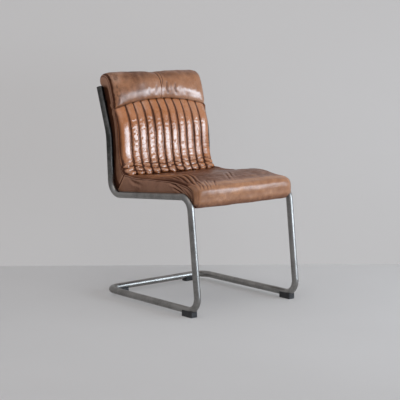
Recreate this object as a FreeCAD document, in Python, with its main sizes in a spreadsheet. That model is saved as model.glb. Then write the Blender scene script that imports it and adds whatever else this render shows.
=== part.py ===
import FreeCAD, Part
import Sketcher
import math
import os

from FreeCAD import Placement, Rotation, Vector

# Leather dining chair on a bent tube cantilever frame.
# X is the width, -Y is the front, Z is up. The origin is on the floor, under the middle of the chair.

os.makedirs("parts", exist_ok=True)
doc = FreeCAD.newDocument("LeatherChair")
sheet = doc.addObject("Spreadsheet::Sheet", "Sizes")

SIZES = {
    # Bent tube frame: its centre line in side view, from the post's top to the rear floor corner
    "tube_diameter": 25.0,
    "tube_wall": 2.0,
    "frame_spacing": 473.0,
    "back_rise": 400.0,
    "kink_drop": 172.0,
    "upper_post_lean": 56.0,
    "lower_post_lean": 11.0,
    "rail_back_depth": 212.0,
    "rail_back_height": 389.0,
    "rail_front_depth": -254.0,
    "rail_rise": 36.0,
    "leg_slant": 44.5,
    "floor_bar_setback": 40.5,
    "bend_radius": 50.0,
    "kink_radius": 180.0,
    "spigot_length": 80.0,
    "spigot_wall": 2.0,
    "spigot_clearance": 0.1,
    # End caps of the posts
    "cap_thickness": 2.5,
    "cap_rounding": 1.5,
    "cap_plug_length": 15.0,
    "cap_clearance": 0.1,
    # Saddle glides under the floor runs
    "glide_thickness": 9.0,
    "glide_width": 28.0,
    "glide_wrap": 8.0,
    "glide_corner": 3.0,
    "glide_clearance": 0.2,
    "front_glide_length": 55.0,
    "front_glide_inset": 23.5,
    "front_glide_rise": 5.0,
    "rear_glide_length": 44.0,
    "rear_glide_inset": 71.5,
    "rivet_shank_diameter": 4.0,
    "rivet_head_diameter": 8.4,
    "rivet_head_height": 2.2,
    "rivet_head_recess": 0.8,
    "rivet_length": 14.0,
    "rivet_clearance": 0.1,
    # Flat crossbars welded between the tubes, and what fastens the shell to them
    "bar_width": 30.0,
    "bar_thickness": 5.0,
    "front_bar_inset": 104.0,
    "rear_bar_inset": 117.0,
    "high_bar_drop": 64.0,
    "bolt_offset": 140.0,
    "bolt_diameter": 6.0,
    "bolt_length": 16.0,
    "bolt_head_diameter": 11.0,
    "bolt_head_height": 3.4,
    "bolt_hole_clearance": 0.4,
    "washer_diameter": 16.0,
    "washer_thickness": 1.2,
    "nut_barrel_diameter": 8.0,
    "nut_barrel_length": 8.0,
    "nut_flange_diameter": 19.0,
    "nut_flange_thickness": 1.5,
    "thread_clearance": 0.1,
    # Moulded plywood shell and the black lining under its seat
    "shell_thickness": 10.0,
    "shell_top_reach": 30.0,
    "shell_lip_inset": 32.0,
    "shell_lip_length": 34.0,
    "shell_lip_angle": 50.0,
    "shell_lip_radius": 30.0,
    "lining_thickness": 1.2,
    "lining_inset": 49.0,
    "lining_gap": 4.0,
    # Upholstery: widths and leather with its wadding
    "side_clearance": 1.5,
    "side_cover_thickness": 3.5,
    "cover_thickness": 8.0,
    "rear_cover_thickness": 3.0,
    "rear_cover_wrap": 72.0,
    "soft_gap": 0.3,
    "foam_gap": 1.0,
    # Back: depth of the padding in front of the tube's centre line, and its channels
    "lumbar_depth": 31.5,
    "yoke_depth": 48.0,
    "flare_depth": 33.0,
    "flare_length": 92.0,
    "yoke_blend_length": 74.0,
    "yoke_blend_drop": 5.0,
    "back_crown": 10.0,
    "channel_pitch": 37.8,
    "channel_bulge": 7.0,
    "quilt_depth": 8.0,
    # Yoke across the top of the back, measured from the top of its side seam
    "side_top_rise": 43.0,
    "arch_drop": 121.0,
    "arch_rise": 33.0,
    "yoke_bulge": 9.0,
    "shoulder_drop": 26.0,
    "ridge_rise": 14.0,
    "ridge_setback": 25.0,
    "ridge_roundness": 20.4,
    "ridge_dip": 5.0,
    "yoke_hem_drop": 32.0,
    # Seat cushion: heights from its side seam or its crown, depths from the rail's front corner
    "seat_seam_rise": 77.0,
    "seat_rear_drop": 3.0,
    "back_foot_rise": 2.0,
    "seat_crown_rise": 20.0,
    "seat_crown_inset": 124.0,
    "seat_tuck": 16.0,
    "seat_dip": 3.0,
    "crease_reach": 2.0,
    "crease_drop": 27.0,
    "nose_reach": 34.0,
    "nose_drop": 54.0,
    "nose_bulge": 3.0,
    "nose_bottom_reach": 25.0,
    "nose_bottom_drop": 5.0,
    "nose_return": 14.0,
    "side_crease_inset": 32.0,
    "side_crease_drop": 14.0,
    "side_nose_inset": 4.0,
    "side_nose_drop": 44.0,
    "side_bottom_reach": 10.0,
}

# Places worked out in the sheet from the sizes above
PLACES = {
    "post_top_height": "rail_back_height + back_rise",
    "post_kink_height": "post_top_height - kink_drop",
    "post_kink_depth": "rail_back_depth + lower_post_lean",
    "post_top_depth": "post_kink_depth + upper_post_lean",
    "rail_front_height": "rail_back_height + rail_rise",
    "foot_front_depth": "rail_front_depth - leg_slant",
    "foot_rear_depth": "rail_back_depth + floor_bar_setback",
    "front_glide_depth": "foot_front_depth + front_glide_inset",
    "rear_glide_offset": "frame_spacing / 2 - rear_glide_inset",
    "seat_bar_front": "rail_front_depth + front_bar_inset",
    "seat_bar_rear": "rail_back_depth - rear_bar_inset",
    "back_bar_low": "(rail_back_height + post_kink_height) / 2",
    "back_bar_high": "post_top_height - high_bar_drop",
    "shell_lip_depth": "rail_front_depth + shell_lip_inset",
    "rear_cover_hem": "rail_back_depth - rear_cover_wrap",
    "lining_front": "rail_front_depth + lining_inset",
    "lining_rear": "rear_cover_hem - lining_gap",
    "side_top_height": "post_top_height + side_top_rise",
    "arch_side_height": "side_top_height - arch_drop",
    "yoke_blend_high": "arch_side_height - yoke_blend_drop",
    "yoke_blend_low": "yoke_blend_high - yoke_blend_length",
    "yoke_shoulder_height": "side_top_height - shoulder_drop",
    "ridge_height": "side_top_height + ridge_rise",
    "yoke_hem_height": "side_top_height - yoke_hem_drop",
    "seat_seam_height": "rail_back_height + seat_seam_rise",
    "seat_rear_height": "seat_seam_height - seat_rear_drop",
    "back_foot_height": "seat_seam_height + back_foot_rise",
    "flare_height": "back_foot_height + flare_length",
    "seat_crown_height": "seat_seam_height + seat_crown_rise",
    "seat_crown_depth": "rail_front_depth + seat_crown_inset",
    "seat_tuck_depth": "rail_back_depth - seat_tuck",
    "crease_depth": "rail_front_depth - crease_reach",
    "crease_height": "seat_crown_height - crease_drop",
    "nose_depth": "rail_front_depth - nose_reach",
    "nose_height": "seat_crown_height - nose_drop",
    "nose_bottom_depth": "rail_front_depth - nose_bottom_reach",
    "nose_bottom_height": "rail_back_height - nose_bottom_drop",
    "nose_return_depth": "rail_front_depth + nose_return",
    "side_crease_depth": "rail_front_depth + side_crease_inset",
    "side_crease_height": "seat_seam_height - side_crease_drop",
    "side_nose_depth": "rail_front_depth + side_nose_inset",
    "side_nose_height": "seat_seam_height - side_nose_drop",
    "side_nose_bottom_depth": "rail_front_depth - side_bottom_reach",
}

formulas = {alias: "=" + formula for alias, formula in PLACES.items()}
for row, (alias, value) in enumerate((SIZES | formulas).items(), start=1):
    sheet.set(f"A{row}", alias.replace("_", " "))
    sheet.set(f"B{row}", str(value))
    sheet.setAlias(f"B{row}", alias)
doc.recompute()


def size(alias):
    """The value of one named size of the sheet."""
    return float(getattr(sheet, alias))


TUBE_R = size("tube_diameter") / 2
TUBE_BORE_R = TUBE_R - size("tube_wall")
HALF_SPACING = size("frame_spacing") / 2
TUBE_HEIGHT = size("glide_thickness") + TUBE_R
BODY_HALF = HALF_SPACING - TUBE_R - size("side_clearance")
PANEL_HALF = BODY_HALF - size("side_cover_thickness") - size("soft_gap")
GAP = size("soft_gap")
FOAM_INSET = size("cover_thickness") + size("foam_gap")
BAR_HALF = size("bar_thickness") / 2
SHELL_NEAR = BAR_HALF + size("lining_thickness")
SHELL_FAR = SHELL_NEAR + size("shell_thickness")
OUT_OF_REACH = 600.0


# Points and paths of the side view

def side(depth, height, x=0.0):
    """A point of the side view, at a place across the width."""
    return Vector(x, depth, height)


def heading(start, end):
    """Unit direction from one point to another."""
    return (end - start).normalize()


POST_TOP = side(size("post_top_depth"), size("post_top_height"))
POST_KINK = side(size("post_kink_depth"), size("post_kink_height"))
RAIL_BACK = side(size("rail_back_depth"), size("rail_back_height"))
RAIL_FRONT = side(size("rail_front_depth"), size("rail_front_height"))
FOOT_FRONT = side(size("foot_front_depth"), TUBE_HEIGHT)
FOOT_REAR = side(size("foot_rear_depth"), TUBE_HEIGHT)
UPPER_POST = heading(POST_KINK, POST_TOP)
RAIL = heading(RAIL_BACK, RAIL_FRONT)


def on_line(start, end, depth=None, height=None):
    """The point of a line at a given depth or height."""
    if depth is not None:
        share = (depth - start.y) / (end.y - start.y)
    else:
        share = (height - start.z) / (end.z - start.z)
    return start + (end - start) * share


def post_depth(height):
    """Depth of the posts' centre line at a height."""
    if height > POST_KINK.z:
        return on_line(POST_KINK, POST_TOP, height=height).y
    return on_line(RAIL_BACK, POST_KINK, height=height).y


def bend(before, corner, after, radius):
    """Start, middle and end of the arc that rounds a corner."""
    back = heading(corner, before)
    onward = heading(corner, after)
    half_angle = back.getAngle(onward) / 2
    reach = radius / math.tan(half_angle)
    inward = (back + onward).normalize()
    centre = corner + inward * (radius / math.sin(half_angle))
    return corner + back * reach, centre - inward * radius, corner + onward * reach


def line(start, end):
    return Part.LineSegment(start, end).toShape()


def arc(start, middle, end):
    """An arc through three points, or a line where they are in line."""
    if (middle - start).cross(end - start).Length < 1e-6:
        return line(start, end)
    return Part.Arc(start, middle, end).toShape()


def bent_path(points, radii):
    """Straight runs joined by tangent arcs."""
    edges = []
    last = points[0]
    for before, corner, after, radius in zip(points, points[1:], points[2:], radii):
        start, middle, end = bend(before, corner, after, radius)
        edges += [line(last, start), arc(start, middle, end)]
        last = end
    edges.append(line(last, points[-1]))
    return edges


def moved_path(points, radii, distance):
    """Corners and radii of a side-view path moved towards the sitter."""
    runs = []
    for start, end in zip(points, points[1:]):
        along = heading(start, end)
        normal = Vector(0, along.z, -along.y)
        runs.append((start + normal * distance, end + normal * distance, along))
    corners = [runs[0][0]]
    new_radii = []
    for (first, _, along), (second, _, onward), radius in zip(runs, runs[1:], radii):
        turn = along.y * onward.z - along.z * onward.y
        reach = ((second.y - first.y) * onward.z - (second.z - first.z) * onward.y) / turn
        corners.append(first + along * reach)
        new_radii.append(radius + math.copysign(distance, turn))
    corners.append(runs[-1][1])
    return corners, new_radii


def closed(edges):
    """One closed wire from edges in any order."""
    return Part.Wire(Part.__sortEdges__(edges))


def polygon(points):
    return Part.makePolygon(points + [points[0]])


def band(points, radii, near, far):
    """Closed wire of the strip between two distances from a side-view path."""
    inner = bent_path(*moved_path(points, radii, near))
    outer = bent_path(*moved_path(points, radii, far))
    start = line(inner[0].firstVertex(True).Point, outer[0].firstVertex(True).Point)
    end = line(inner[-1].lastVertex(True).Point, outer[-1].lastVertex(True).Point)
    return closed(inner + outer + [start, end])


def across(wire, half_width, start=None):
    """Solid of a side-view outline across the chair."""
    left = -half_width if start is None else start
    face = Part.Face(wire)
    face.translate(Vector(left, 0, 0))
    return face.extrude(Vector(half_width - left, 0, 0))


# Document helpers

def feature(label, shape):
    """A sub-part whose form is made directly."""
    made = doc.addObject("Part::Feature", label)
    made.Label = label
    made.Shape = shape
    return made


def cut(label, base, tool):
    made = doc.addObject("Part::Cut", label)
    made.Base = base
    made.Tool = tool
    return made


def mirrored(label, source):
    """The same piece on the other side of the chair."""
    made = doc.addObject("Part::Mirroring", label)
    made.Source = source
    made.Normal = Vector(1, 0, 0)
    return made


def cylinder(label, radius, height, placement=None):
    """A cylinder whose radius and height are expressions of the sheet."""
    made = doc.addObject("Part::Cylinder", label)
    made.setExpression("Radius", radius)
    made.setExpression("Height", height)
    if placement:
        made.Placement = placement
    return made


def origin_plane(body, role):
    return next(item for item in body.Origin.OriginFeatures if item.Role == role)


def sketched_block(label, length, width, height, hole=None, spacing=None):
    """A plate or block on the XY plane: a centred rectangle, padded, with a pair of holes if given."""
    body = doc.addObject("PartDesign::Body", label)
    sketch = body.newObject("Sketcher::SketchObject", label + "_outline")
    sketch.AttachmentSupport = (origin_plane(body, "XY_Plane"), [""])
    sketch.MapMode = "FlatFace"
    corners = [Vector(-1, -1, 0), Vector(1, -1, 0), Vector(1, 1, 0), Vector(-1, 1, 0)]
    for start, end in zip(corners, corners[1:] + corners[:1]):
        sketch.addGeometry(Part.LineSegment(start, end), False)
    joins = [Sketcher.Constraint("Coincident", edge, 2, (edge + 1) % 4, 1) for edge in range(4)]
    level = [Sketcher.Constraint("Horizontal", 0), Sketcher.Constraint("Horizontal", 2),
             Sketcher.Constraint("Vertical", 1), Sketcher.Constraint("Vertical", 3)]
    sketch.addConstraint(joins + level)
    sketch.addConstraint(Sketcher.Constraint("Symmetric", 0, 1, 1, 2, -1, 1))
    for name, edge, value in (("length", 0, length), ("width", 1, width)):
        index = sketch.addConstraint(Sketcher.Constraint("Distance", edge, 1.0 + edge))
        sketch.renameConstraint(index, name)
        sketch.setExpression("Constraints." + name, value)
    if hole:
        for turn in (-1, 1):
            circle = sketch.addGeometry(Part.Circle(Vector(turn * 0.5, 0, 0), Vector(0, 0, 1), 0.1), False)
            sketch.addConstraint(Sketcher.Constraint("PointOnObject", circle, 3, -1))
            radius = sketch.addConstraint(Sketcher.Constraint("Radius", circle, 0.1))
            place = sketch.addConstraint(Sketcher.Constraint("DistanceX", -1, 1, circle, 3, turn * 0.5))
            side_name = "left" if turn < 0 else "right"
            sketch.renameConstraint(radius, side_name + "_hole")
            sketch.renameConstraint(place, side_name + "_place")
            sketch.setExpression("Constraints." + side_name + "_hole", hole)
            sketch.setExpression("Constraints." + side_name + "_place", f"{turn} * ({spacing})")
    pad = body.newObject("PartDesign::Pad", label + "_pad")
    pad.Profile = sketch
    pad.setExpression("Length", height)
    body.Tip = pad
    doc.recompute()
    return body


def rounded_body(body, radius, chosen):
    """Adds a fillet on the edges of a body's tip that a test picks."""
    tip = body.Tip
    names = [f"Edge{index}" for index, edge in enumerate(tip.Shape.Edges, start=1) if chosen(edge)]
    fillet = body.newObject("PartDesign::Fillet", body.Name + "_fillet")
    fillet.Base = (tip, names)
    fillet.setExpression("Radius", radius)
    body.Tip = fillet
    doc.recompute()
    return body


def is_upright(edge):
    start, end = edge.firstVertex().Point, edge.lastVertex().Point
    return abs((end - start).z) > 0.9 * edge.Length


# Frame tubes: each side runs from the post's top to the middle of the rear floor bar

def tube_path(half):
    """Centre line of one side's tube."""
    flat = [POST_TOP, POST_KINK, RAIL_BACK, RAIL_FRONT, FOOT_FRONT, FOOT_REAR]
    points = [Vector(half, point.y, point.z) for point in flat] + [Vector(0, FOOT_REAR.y, FOOT_REAR.z)]
    radii = [size("kink_radius")] + [size("bend_radius")] * 4
    return Part.Wire(bent_path(points, radii))


def tube_solid(label, radius, path):
    """A round bar swept along the tube's centre line, its radius an expression of the sheet."""
    section = doc.addObject("Part::Circle", label + "_section")
    section.setExpression("Radius", radius)
    start = path.Shape.Vertexes[0].Point
    section.Placement = Placement(start, Rotation(Vector(0, 0, 1), -UPPER_POST))
    sweep = doc.addObject("Part::Sweep", label)
    sweep.Sections = [section]
    sweep.Spine = path
    sweep.Solid = True
    sweep.Frenet = False
    return sweep


left_path = feature("tube_path", tube_path(-HALF_SPACING))
tube_outside = tube_solid("tube_outside", "Sizes.tube_diameter / 2", left_path)
tube_bore = tube_solid("tube_bore", "Sizes.tube_diameter / 2 - Sizes.tube_wall", left_path)
glide_seat = tube_solid("glide_seat", "Sizes.tube_diameter / 2 + Sizes.glide_clearance", left_path)
plain_tube = cut("plain_tube", tube_outside, tube_bore)

front_tangent = bend(RAIL_FRONT, FOOT_FRONT, FOOT_REAR, size("bend_radius"))[2]
RIVET_INSET = size("front_glide_length") / 4
rivet_spots = [
    Vector(-HALF_SPACING, size("front_glide_depth") + size("front_glide_length") - RIVET_INSET, 0),
    Vector(-size("rear_glide_offset"), FOOT_REAR.y, 0),
]


def rivet_holes():
    """The holes that the rivets of the left side pass through."""
    radius = size("rivet_shank_diameter") / 2 + size("rivet_clearance")
    head = size("rivet_head_diameter") / 2 + size("rivet_clearance")
    depth = size("rivet_head_recess") + size("rivet_head_height") + size("rivet_clearance")
    tools = []
    for spot in rivet_spots:
        tools.append(Part.makeCylinder(radius, TUBE_HEIGHT, spot))
        tools.append(Part.makeCylinder(head, depth, spot))
    return Part.makeCompound(tools)


def rivets():
    """Countersunk rivets of the left side."""
    made = []
    recess = size("rivet_head_recess")
    head = size("rivet_head_diameter") / 2
    shank = size("rivet_shank_diameter") / 2
    for spot in rivet_spots:
        low = spot + Vector(0, 0, recess)
        top = Part.makeCone(head, shank, size("rivet_head_height"), low)
        made.append(top.fuse(Part.makeCylinder(shank, size("rivet_length") - recess, low)).removeSplitter())
    return made


rivet_tool = feature("rivet_tool", rivet_holes())
frame_tube_left = cut("frame_tube_left", plain_tube, rivet_tool)
frame_tube_right = mirrored("frame_tube_right", frame_tube_left)
left_rivets = rivets()
rivet_set = left_rivets + [shape.mirror(Vector(), Vector(1, 0, 0)) for shape in left_rivets]
glide_rivets = feature("glide_rivets", Part.makeCompound(rivet_set))

spigot_place = Placement(
    Vector(-size("spigot_length") / 2, FOOT_REAR.y, TUBE_HEIGHT), Rotation(Vector(0, 1, 0), 90))
spigot_r = "Sizes.tube_diameter / 2 - Sizes.tube_wall - Sizes.spigot_clearance"
spigot_outside = cylinder("spigot_outside", spigot_r, "Sizes.spigot_length", spigot_place)
spigot_bore = cylinder("spigot_bore", spigot_r + " - Sizes.spigot_wall", "Sizes.spigot_length", spigot_place)
tube_joint_spigot = cut("tube_joint_spigot", spigot_outside, spigot_bore)


# End caps: a domed disc on a plug

post_lean = math.degrees(math.atan2(UPPER_POST.y, UPPER_POST.z))
cap_rotation = Rotation(Vector(1, 0, 0), -post_lean)
cap_place = Placement(Vector(-HALF_SPACING, POST_TOP.y, POST_TOP.z), cap_rotation)
plug_place = cap_place.multiply(Placement(Vector(0, 0, -size("cap_plug_length")), Rotation()))
cap_disc = cylinder("cap_disc", "Sizes.tube_diameter / 2", "Sizes.cap_thickness", cap_place)
cap_plug = cylinder(
    "cap_plug", "Sizes.tube_diameter / 2 - Sizes.tube_wall - Sizes.cap_clearance",
    "Sizes.cap_plug_length", plug_place)
doc.recompute()
cap_dome = doc.addObject("Part::Fillet", "cap_dome")
cap_dome.Base = cap_disc
crown_edge = max(
    range(len(cap_disc.Shape.Edges)), key=lambda index: cap_disc.Shape.Edges[index].CenterOfMass.z)
cap_dome.Edges = [(crown_edge + 1, size("cap_rounding"), size("cap_rounding"))]
post_cap_left = doc.addObject("Part::Fuse", "post_cap_left")
post_cap_left.Base = cap_dome
post_cap_left.Tool = cap_plug
post_cap_right = mirrored("post_cap_right", post_cap_left)


# Saddle glides, cut to the tube they sit under

def glide(label, length, width, height, place):
    block = sketched_block(label + "_block", length, width, height)
    rounded_body(block, "Sizes.glide_corner", is_upright)
    block.Placement = place
    saddle = cut(label + "_saddle", block, glide_seat)
    return cut(label, saddle, rivet_tool)


front_middle = size("front_glide_depth") + size("front_glide_length") / 2
front_glide_left = glide(
    "front_glide_left", "Sizes.glide_width", "Sizes.front_glide_length",
    "Sizes.glide_thickness + Sizes.glide_wrap + Sizes.front_glide_rise",
    Placement(Vector(-HALF_SPACING, front_middle, 0), Rotation()))
front_glide_right = mirrored("front_glide_right", front_glide_left)
rear_glide_left = glide(
    "rear_glide_left", "Sizes.rear_glide_length", "Sizes.glide_width",
    "Sizes.glide_thickness + Sizes.glide_wrap",
    Placement(Vector(-size("rear_glide_offset"), FOOT_REAR.y, 0), Rotation()))
rear_glide_right = mirrored("rear_glide_right", rear_glide_left)


# Flat crossbars between the tubes, each with its bolts, washers and tee nuts

def station(point, along, shift):
    """Placement whose Z points from the tube's centre line to the sitter."""
    normal = Vector(0, along.z, -along.y)
    angle = math.degrees(math.atan2(-normal.y, normal.z))
    return Placement(point + normal * shift, Rotation(Vector(1, 0, 0), angle))


seat_run = heading(RAIL_BACK, RAIL_FRONT)
low_run = heading(POST_KINK, RAIL_BACK)
high_run = heading(POST_TOP, POST_KINK)
lining = size("lining_thickness")
bars = {
    "seat_crossbar_front": (on_line(RAIL_BACK, RAIL_FRONT, depth=size("seat_bar_front")), seat_run, 0.0),
    "seat_crossbar_rear": (on_line(RAIL_BACK, RAIL_FRONT, depth=size("seat_bar_rear")), seat_run, 0.0),
    "back_crossbar_low": (on_line(POST_KINK, RAIL_BACK, height=size("back_bar_low")), low_run, lining),
    "back_crossbar_high": (on_line(POST_TOP, POST_KINK, height=size("back_bar_high")), high_run, lining),
}
stations = {name: station(*values) for name, values in bars.items()}
for name, place in stations.items():
    crossbar = sketched_block(
        name, "Sizes.frame_spacing - Sizes.tube_diameter", "Sizes.bar_width", "Sizes.bar_thickness",
        hole="Sizes.bolt_diameter / 2 + Sizes.bolt_hole_clearance", spacing="Sizes.bolt_offset")
    crossbar.Placement = place.multiply(Placement(Vector(0, 0, -BAR_HALF), Rotation()))


def at_bolts(make):
    """One solid for each bolt, made in the crossbar's own frame and put in place."""
    made = []
    for name, place in stations.items():
        nut_face = SHELL_FAR - bars[name][2]
        for turn in (-1, 1):
            shape = make(nut_face)
            spot = Placement(Vector(turn * size("bolt_offset"), 0, 0), Rotation())
            shape.Placement = place.multiply(spot)
            made.append(shape)
    return made


def bolt(nut_face):
    """Button head bolt, from under the washer towards the tee nut."""
    seat = -BAR_HALF - size("washer_thickness")
    head_r = size("bolt_head_diameter") / 2
    head = Part.makeCylinder(head_r, size("bolt_head_height"), Vector(0, 0, seat), Vector(0, 0, -1))
    crown = max(head.Edges, key=lambda edge: -edge.CenterOfMass.z)
    head = head.makeFillet(size("bolt_head_height") / 2, [crown])
    shank = Part.makeCylinder(size("bolt_diameter") / 2, size("bolt_length"), Vector(0, 0, seat))
    return head.fuse(shank).removeSplitter()


def washer(nut_face):
    base = Vector(0, 0, -BAR_HALF - size("washer_thickness"))
    disc = Part.makeCylinder(size("washer_diameter") / 2, size("washer_thickness"), base)
    return disc.cut(bolt_hole(base, size("washer_thickness")))


def bolt_hole(base, length):
    return Part.makeCylinder(size("bolt_diameter") / 2 + size("bolt_hole_clearance"), length, base)


def tee_nut(nut_face):
    """Flanged barrel, its flange flush with the shell's padded face."""
    flange = size("nut_flange_thickness")
    length = size("nut_barrel_length")
    plate = Part.makeCylinder(size("nut_flange_diameter") / 2, flange, Vector(0, 0, nut_face - flange))
    barrel = Part.makeCylinder(size("nut_barrel_diameter") / 2, length, Vector(0, 0, nut_face - flange - length))
    thread = Part.makeCylinder(
        size("bolt_diameter") / 2 + size("thread_clearance"), OUT_OF_REACH, Vector(0, 0, -OUT_OF_REACH / 2))
    return plate.fuse(barrel).removeSplitter().cut(thread)


def nut_hole(nut_face):
    """Hole through the shell for a tee nut, with the recess of its flange."""
    flange = size("nut_flange_thickness") + size("thread_clearance")
    barrel_r = size("nut_barrel_diameter") / 2 + size("thread_clearance")
    flange_r = size("nut_flange_diameter") / 2 + size("thread_clearance")
    depth = 2 * size("shell_thickness")
    through = Part.makeCylinder(barrel_r, depth, Vector(0, 0, nut_face - depth))
    recess = Part.makeCylinder(flange_r, 2 * flange, Vector(0, 0, nut_face - flange))
    return through.fuse(recess)


def lining_hole(nut_face):
    return bolt_hole(Vector(0, 0, -size("shell_thickness")), 2 * size("shell_thickness"))


feature("shell_bolts", Part.makeCompound(at_bolts(bolt)))
feature("shell_washers", Part.makeCompound(at_bolts(washer)))
feature("tee_nuts", Part.makeCompound(at_bolts(tee_nut)))


# Moulded plywood shell: it follows the tubes and turns down at the front

lip_corner = on_line(RAIL_BACK, RAIL_FRONT, depth=size("shell_lip_depth"))
lip_turn = math.atan2(RAIL.z, -RAIL.y) - math.radians(size("shell_lip_angle"))
lip_end = lip_corner + Vector(0, -math.cos(lip_turn), math.sin(lip_turn)) * size("shell_lip_length")
shell_head = POST_TOP + UPPER_POST * size("shell_top_reach")
shell_line = [shell_head, POST_KINK, RAIL_BACK, lip_corner, lip_end]
shell_radii = [size("kink_radius"), size("bend_radius"), size("shell_lip_radius")]
SHELL_HALF = PANEL_HALF - size("cover_thickness")
plain_shell = feature("plain_shell", across(band(shell_line, shell_radii, SHELL_NEAR, SHELL_FAR), SHELL_HALF))
nut_tool = feature("nut_tool", Part.makeCompound(at_bolts(nut_hole)))
plywood_shell = cut("plywood_shell", plain_shell, nut_tool)

lining_front = on_line(RAIL_BACK, RAIL_FRONT, depth=size("lining_front"))
lining_rear = on_line(RAIL_BACK, RAIL_FRONT, depth=size("lining_rear"))
plain_lining = feature(
    "plain_lining", across(band([lining_rear, lining_front], [], BAR_HALF, SHELL_NEAR), SHELL_HALF))
lining_tool = feature("lining_tool", Part.makeCompound(at_bolts(lining_hole)))
seat_lining = cut("seat_lining", plain_lining, lining_tool)


# Rear of the back: leather panel that wraps round the lower bend, and the wadding behind the shell

REAR_FACE = -(TUBE_R - GAP)
REAR_INSIDE = REAR_FACE + size("rear_cover_thickness")
rear_radii = [size("kink_radius"), size("bend_radius")]
rear_end = on_line(RAIL_BACK, RAIL_FRONT, depth=size("rear_cover_hem"))
cover_top = on_line(POST_KINK, POST_TOP, height=size("yoke_hem_height") - GAP - REAR_INSIDE * UPPER_POST.y)
cover_line = [cover_top, POST_KINK, RAIL_BACK, rear_end]
feature("rear_cover", across(band(cover_line, rear_radii, REAR_FACE, REAR_INSIDE), PANEL_HALF))
padding_top = on_line(POST_KINK, POST_TOP, height=size("yoke_hem_height") - TUBE_R / 2)
padding_line = [padding_top, POST_KINK, RAIL_BACK, rear_end]
padding_band = band(padding_line, rear_radii, REAR_INSIDE + GAP, SHELL_NEAR - GAP)
plain_padding = feature("plain_padding", across(padding_band, PANEL_HALF))
room = size("bar_width") + 2 * size("tube_wall")
bar_rooms = []
for name in ("back_crossbar_low", "back_crossbar_high"):
    block = Part.makeBox(2 * BODY_HALF, room, 2 * TUBE_R + size("bar_thickness"))
    block.translate(Vector(-BODY_HALF, -room / 2, -TUBE_R - BAR_HALF))
    block.Placement = stations[name].multiply(block.Placement)
    bar_rooms.append(block)
bar_room = feature("bar_room", Part.makeCompound(bar_rooms))
rear_padding = cut("rear_padding", plain_padding, bar_room)


# Back cushion: the padding's face, measured at the seam with the side cover

def padding_depth(height):
    """How far the seam stands in front of the posts' centre line."""
    flare = max(size("flare_height") - height, 0) / size("flare_length")
    blend = min(max(height - size("yoke_blend_low"), 0) / size("yoke_blend_length"), 1)
    lumbar = size("lumbar_depth")
    return lumbar + size("flare_depth") * flare ** 2 + (size("yoke_depth") - lumbar) * blend


def seam_depth(height):
    return post_depth(height) - padding_depth(height)


def crown_at(place):
    """Share of a cushion's crown left at a place across the width."""
    return 1 - (place / PANEL_HALF) ** 2


def fullness(place):
    """Near one over most of the width, falling quickly to nothing at the side seam."""
    return math.sqrt(max(1 - abs(place / PANEL_HALF) ** 8, 0))


arch_rise = size("arch_rise")
arch_radius = (BODY_HALF ** 2 + arch_rise ** 2) / (2 * arch_rise)
arch_centre = size("arch_side_height") + arch_rise - arch_radius


def arch_height(place):
    """Height of the seam under the yoke."""
    return arch_centre + math.sqrt(arch_radius ** 2 - place ** 2)


CHANNELS = 11
inner_grooves = [(index - CHANNELS / 2) * size("channel_pitch") for index in range(1, CHANNELS)]
grooves = [-PANEL_HALF] + inner_grooves + [PANEL_HALF]
QUILT_STEPS = 6
quilt_foot = size("back_foot_height")
quilt_top = arch_height(0) + size("cover_thickness")
quilt_levels = [quilt_foot + (quilt_top - quilt_foot) * step / QUILT_STEPS for step in range(QUILT_STEPS + 1)]


def quilt_section(height):
    """Level outline of the channelled panel: one arc for each channel, and a straight back."""
    seam = seam_depth(height)
    back = seam + size("quilt_depth")
    front = [side(seam - size("back_crown") * crown_at(place), height, place) for place in grooves]
    edges = []
    for left, right in zip(front, front[1:]):
        top = (left + right) / 2 - Vector(0, size("channel_bulge"), 0)
        edges.append(arc(left, top, right))
    corners = [front[-1], side(back, height, PANEL_HALF), side(back, height, -PANEL_HALF), front[0]]
    edges += [line(start, end) for start, end in zip(corners, corners[1:])]
    return closed(edges)


def under_arch():
    """Everything below the yoke's seam."""
    ends = [side(-OUT_OF_REACH, arch_height(place), place) for place in (-BODY_HALF, BODY_HALF)]
    feet = [side(-OUT_OF_REACH, 0, place) for place in (BODY_HALF, -BODY_HALF)]
    crest = side(-OUT_OF_REACH, arch_height(0))
    outline = [arc(ends[0], crest, ends[1]), line(ends[1], feet[0]), line(*feet), line(feet[1], ends[0])]
    return Part.Face(closed(outline)).extrude(Vector(0, 2 * OUT_OF_REACH, 0))


def behind_padding():
    """The shell and all that is behind and below it, with the gap that the padding keeps."""
    points, radii = moved_path(shell_line, shell_radii, SHELL_FAR + GAP)
    points[0] = points[0] + UPPER_POST * OUT_OF_REACH
    edges = bent_path(points, radii)
    top = edges[0].firstVertex(True).Point
    lip = edges[-1].lastVertex(True).Point
    corners = [lip, side(lip.y, 0), side(OUT_OF_REACH, 0), side(OUT_OF_REACH, top.z), top]
    edges += [line(start, end) for start, end in zip(corners, corners[1:])]
    return across(closed(edges), OUT_OF_REACH)


quilt = Part.makeLoft([quilt_section(height) for height in quilt_levels], True, False)
arch = under_arch()
feature("back_channel_panel", quilt.common(arch))

padding_limit = behind_padding()
foam_half = PANEL_HALF - size("foam_gap")
foam_levels = []
for height in quilt_levels:
    front = seam_depth(height) + size("quilt_depth") + GAP
    corners = [(front, -foam_half), (front, foam_half), (OUT_OF_REACH, foam_half), (OUT_OF_REACH, -foam_half)]
    foam_levels.append(polygon([side(depth, height, place) for depth, place in corners]))
foam_block = Part.makeLoft(foam_levels, True, False)
feature("back_foam", foam_block.cut(padding_limit).common(arch))


# Yoke: a smooth band over the top of the back, in two halves joined by a seam in the middle

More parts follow.
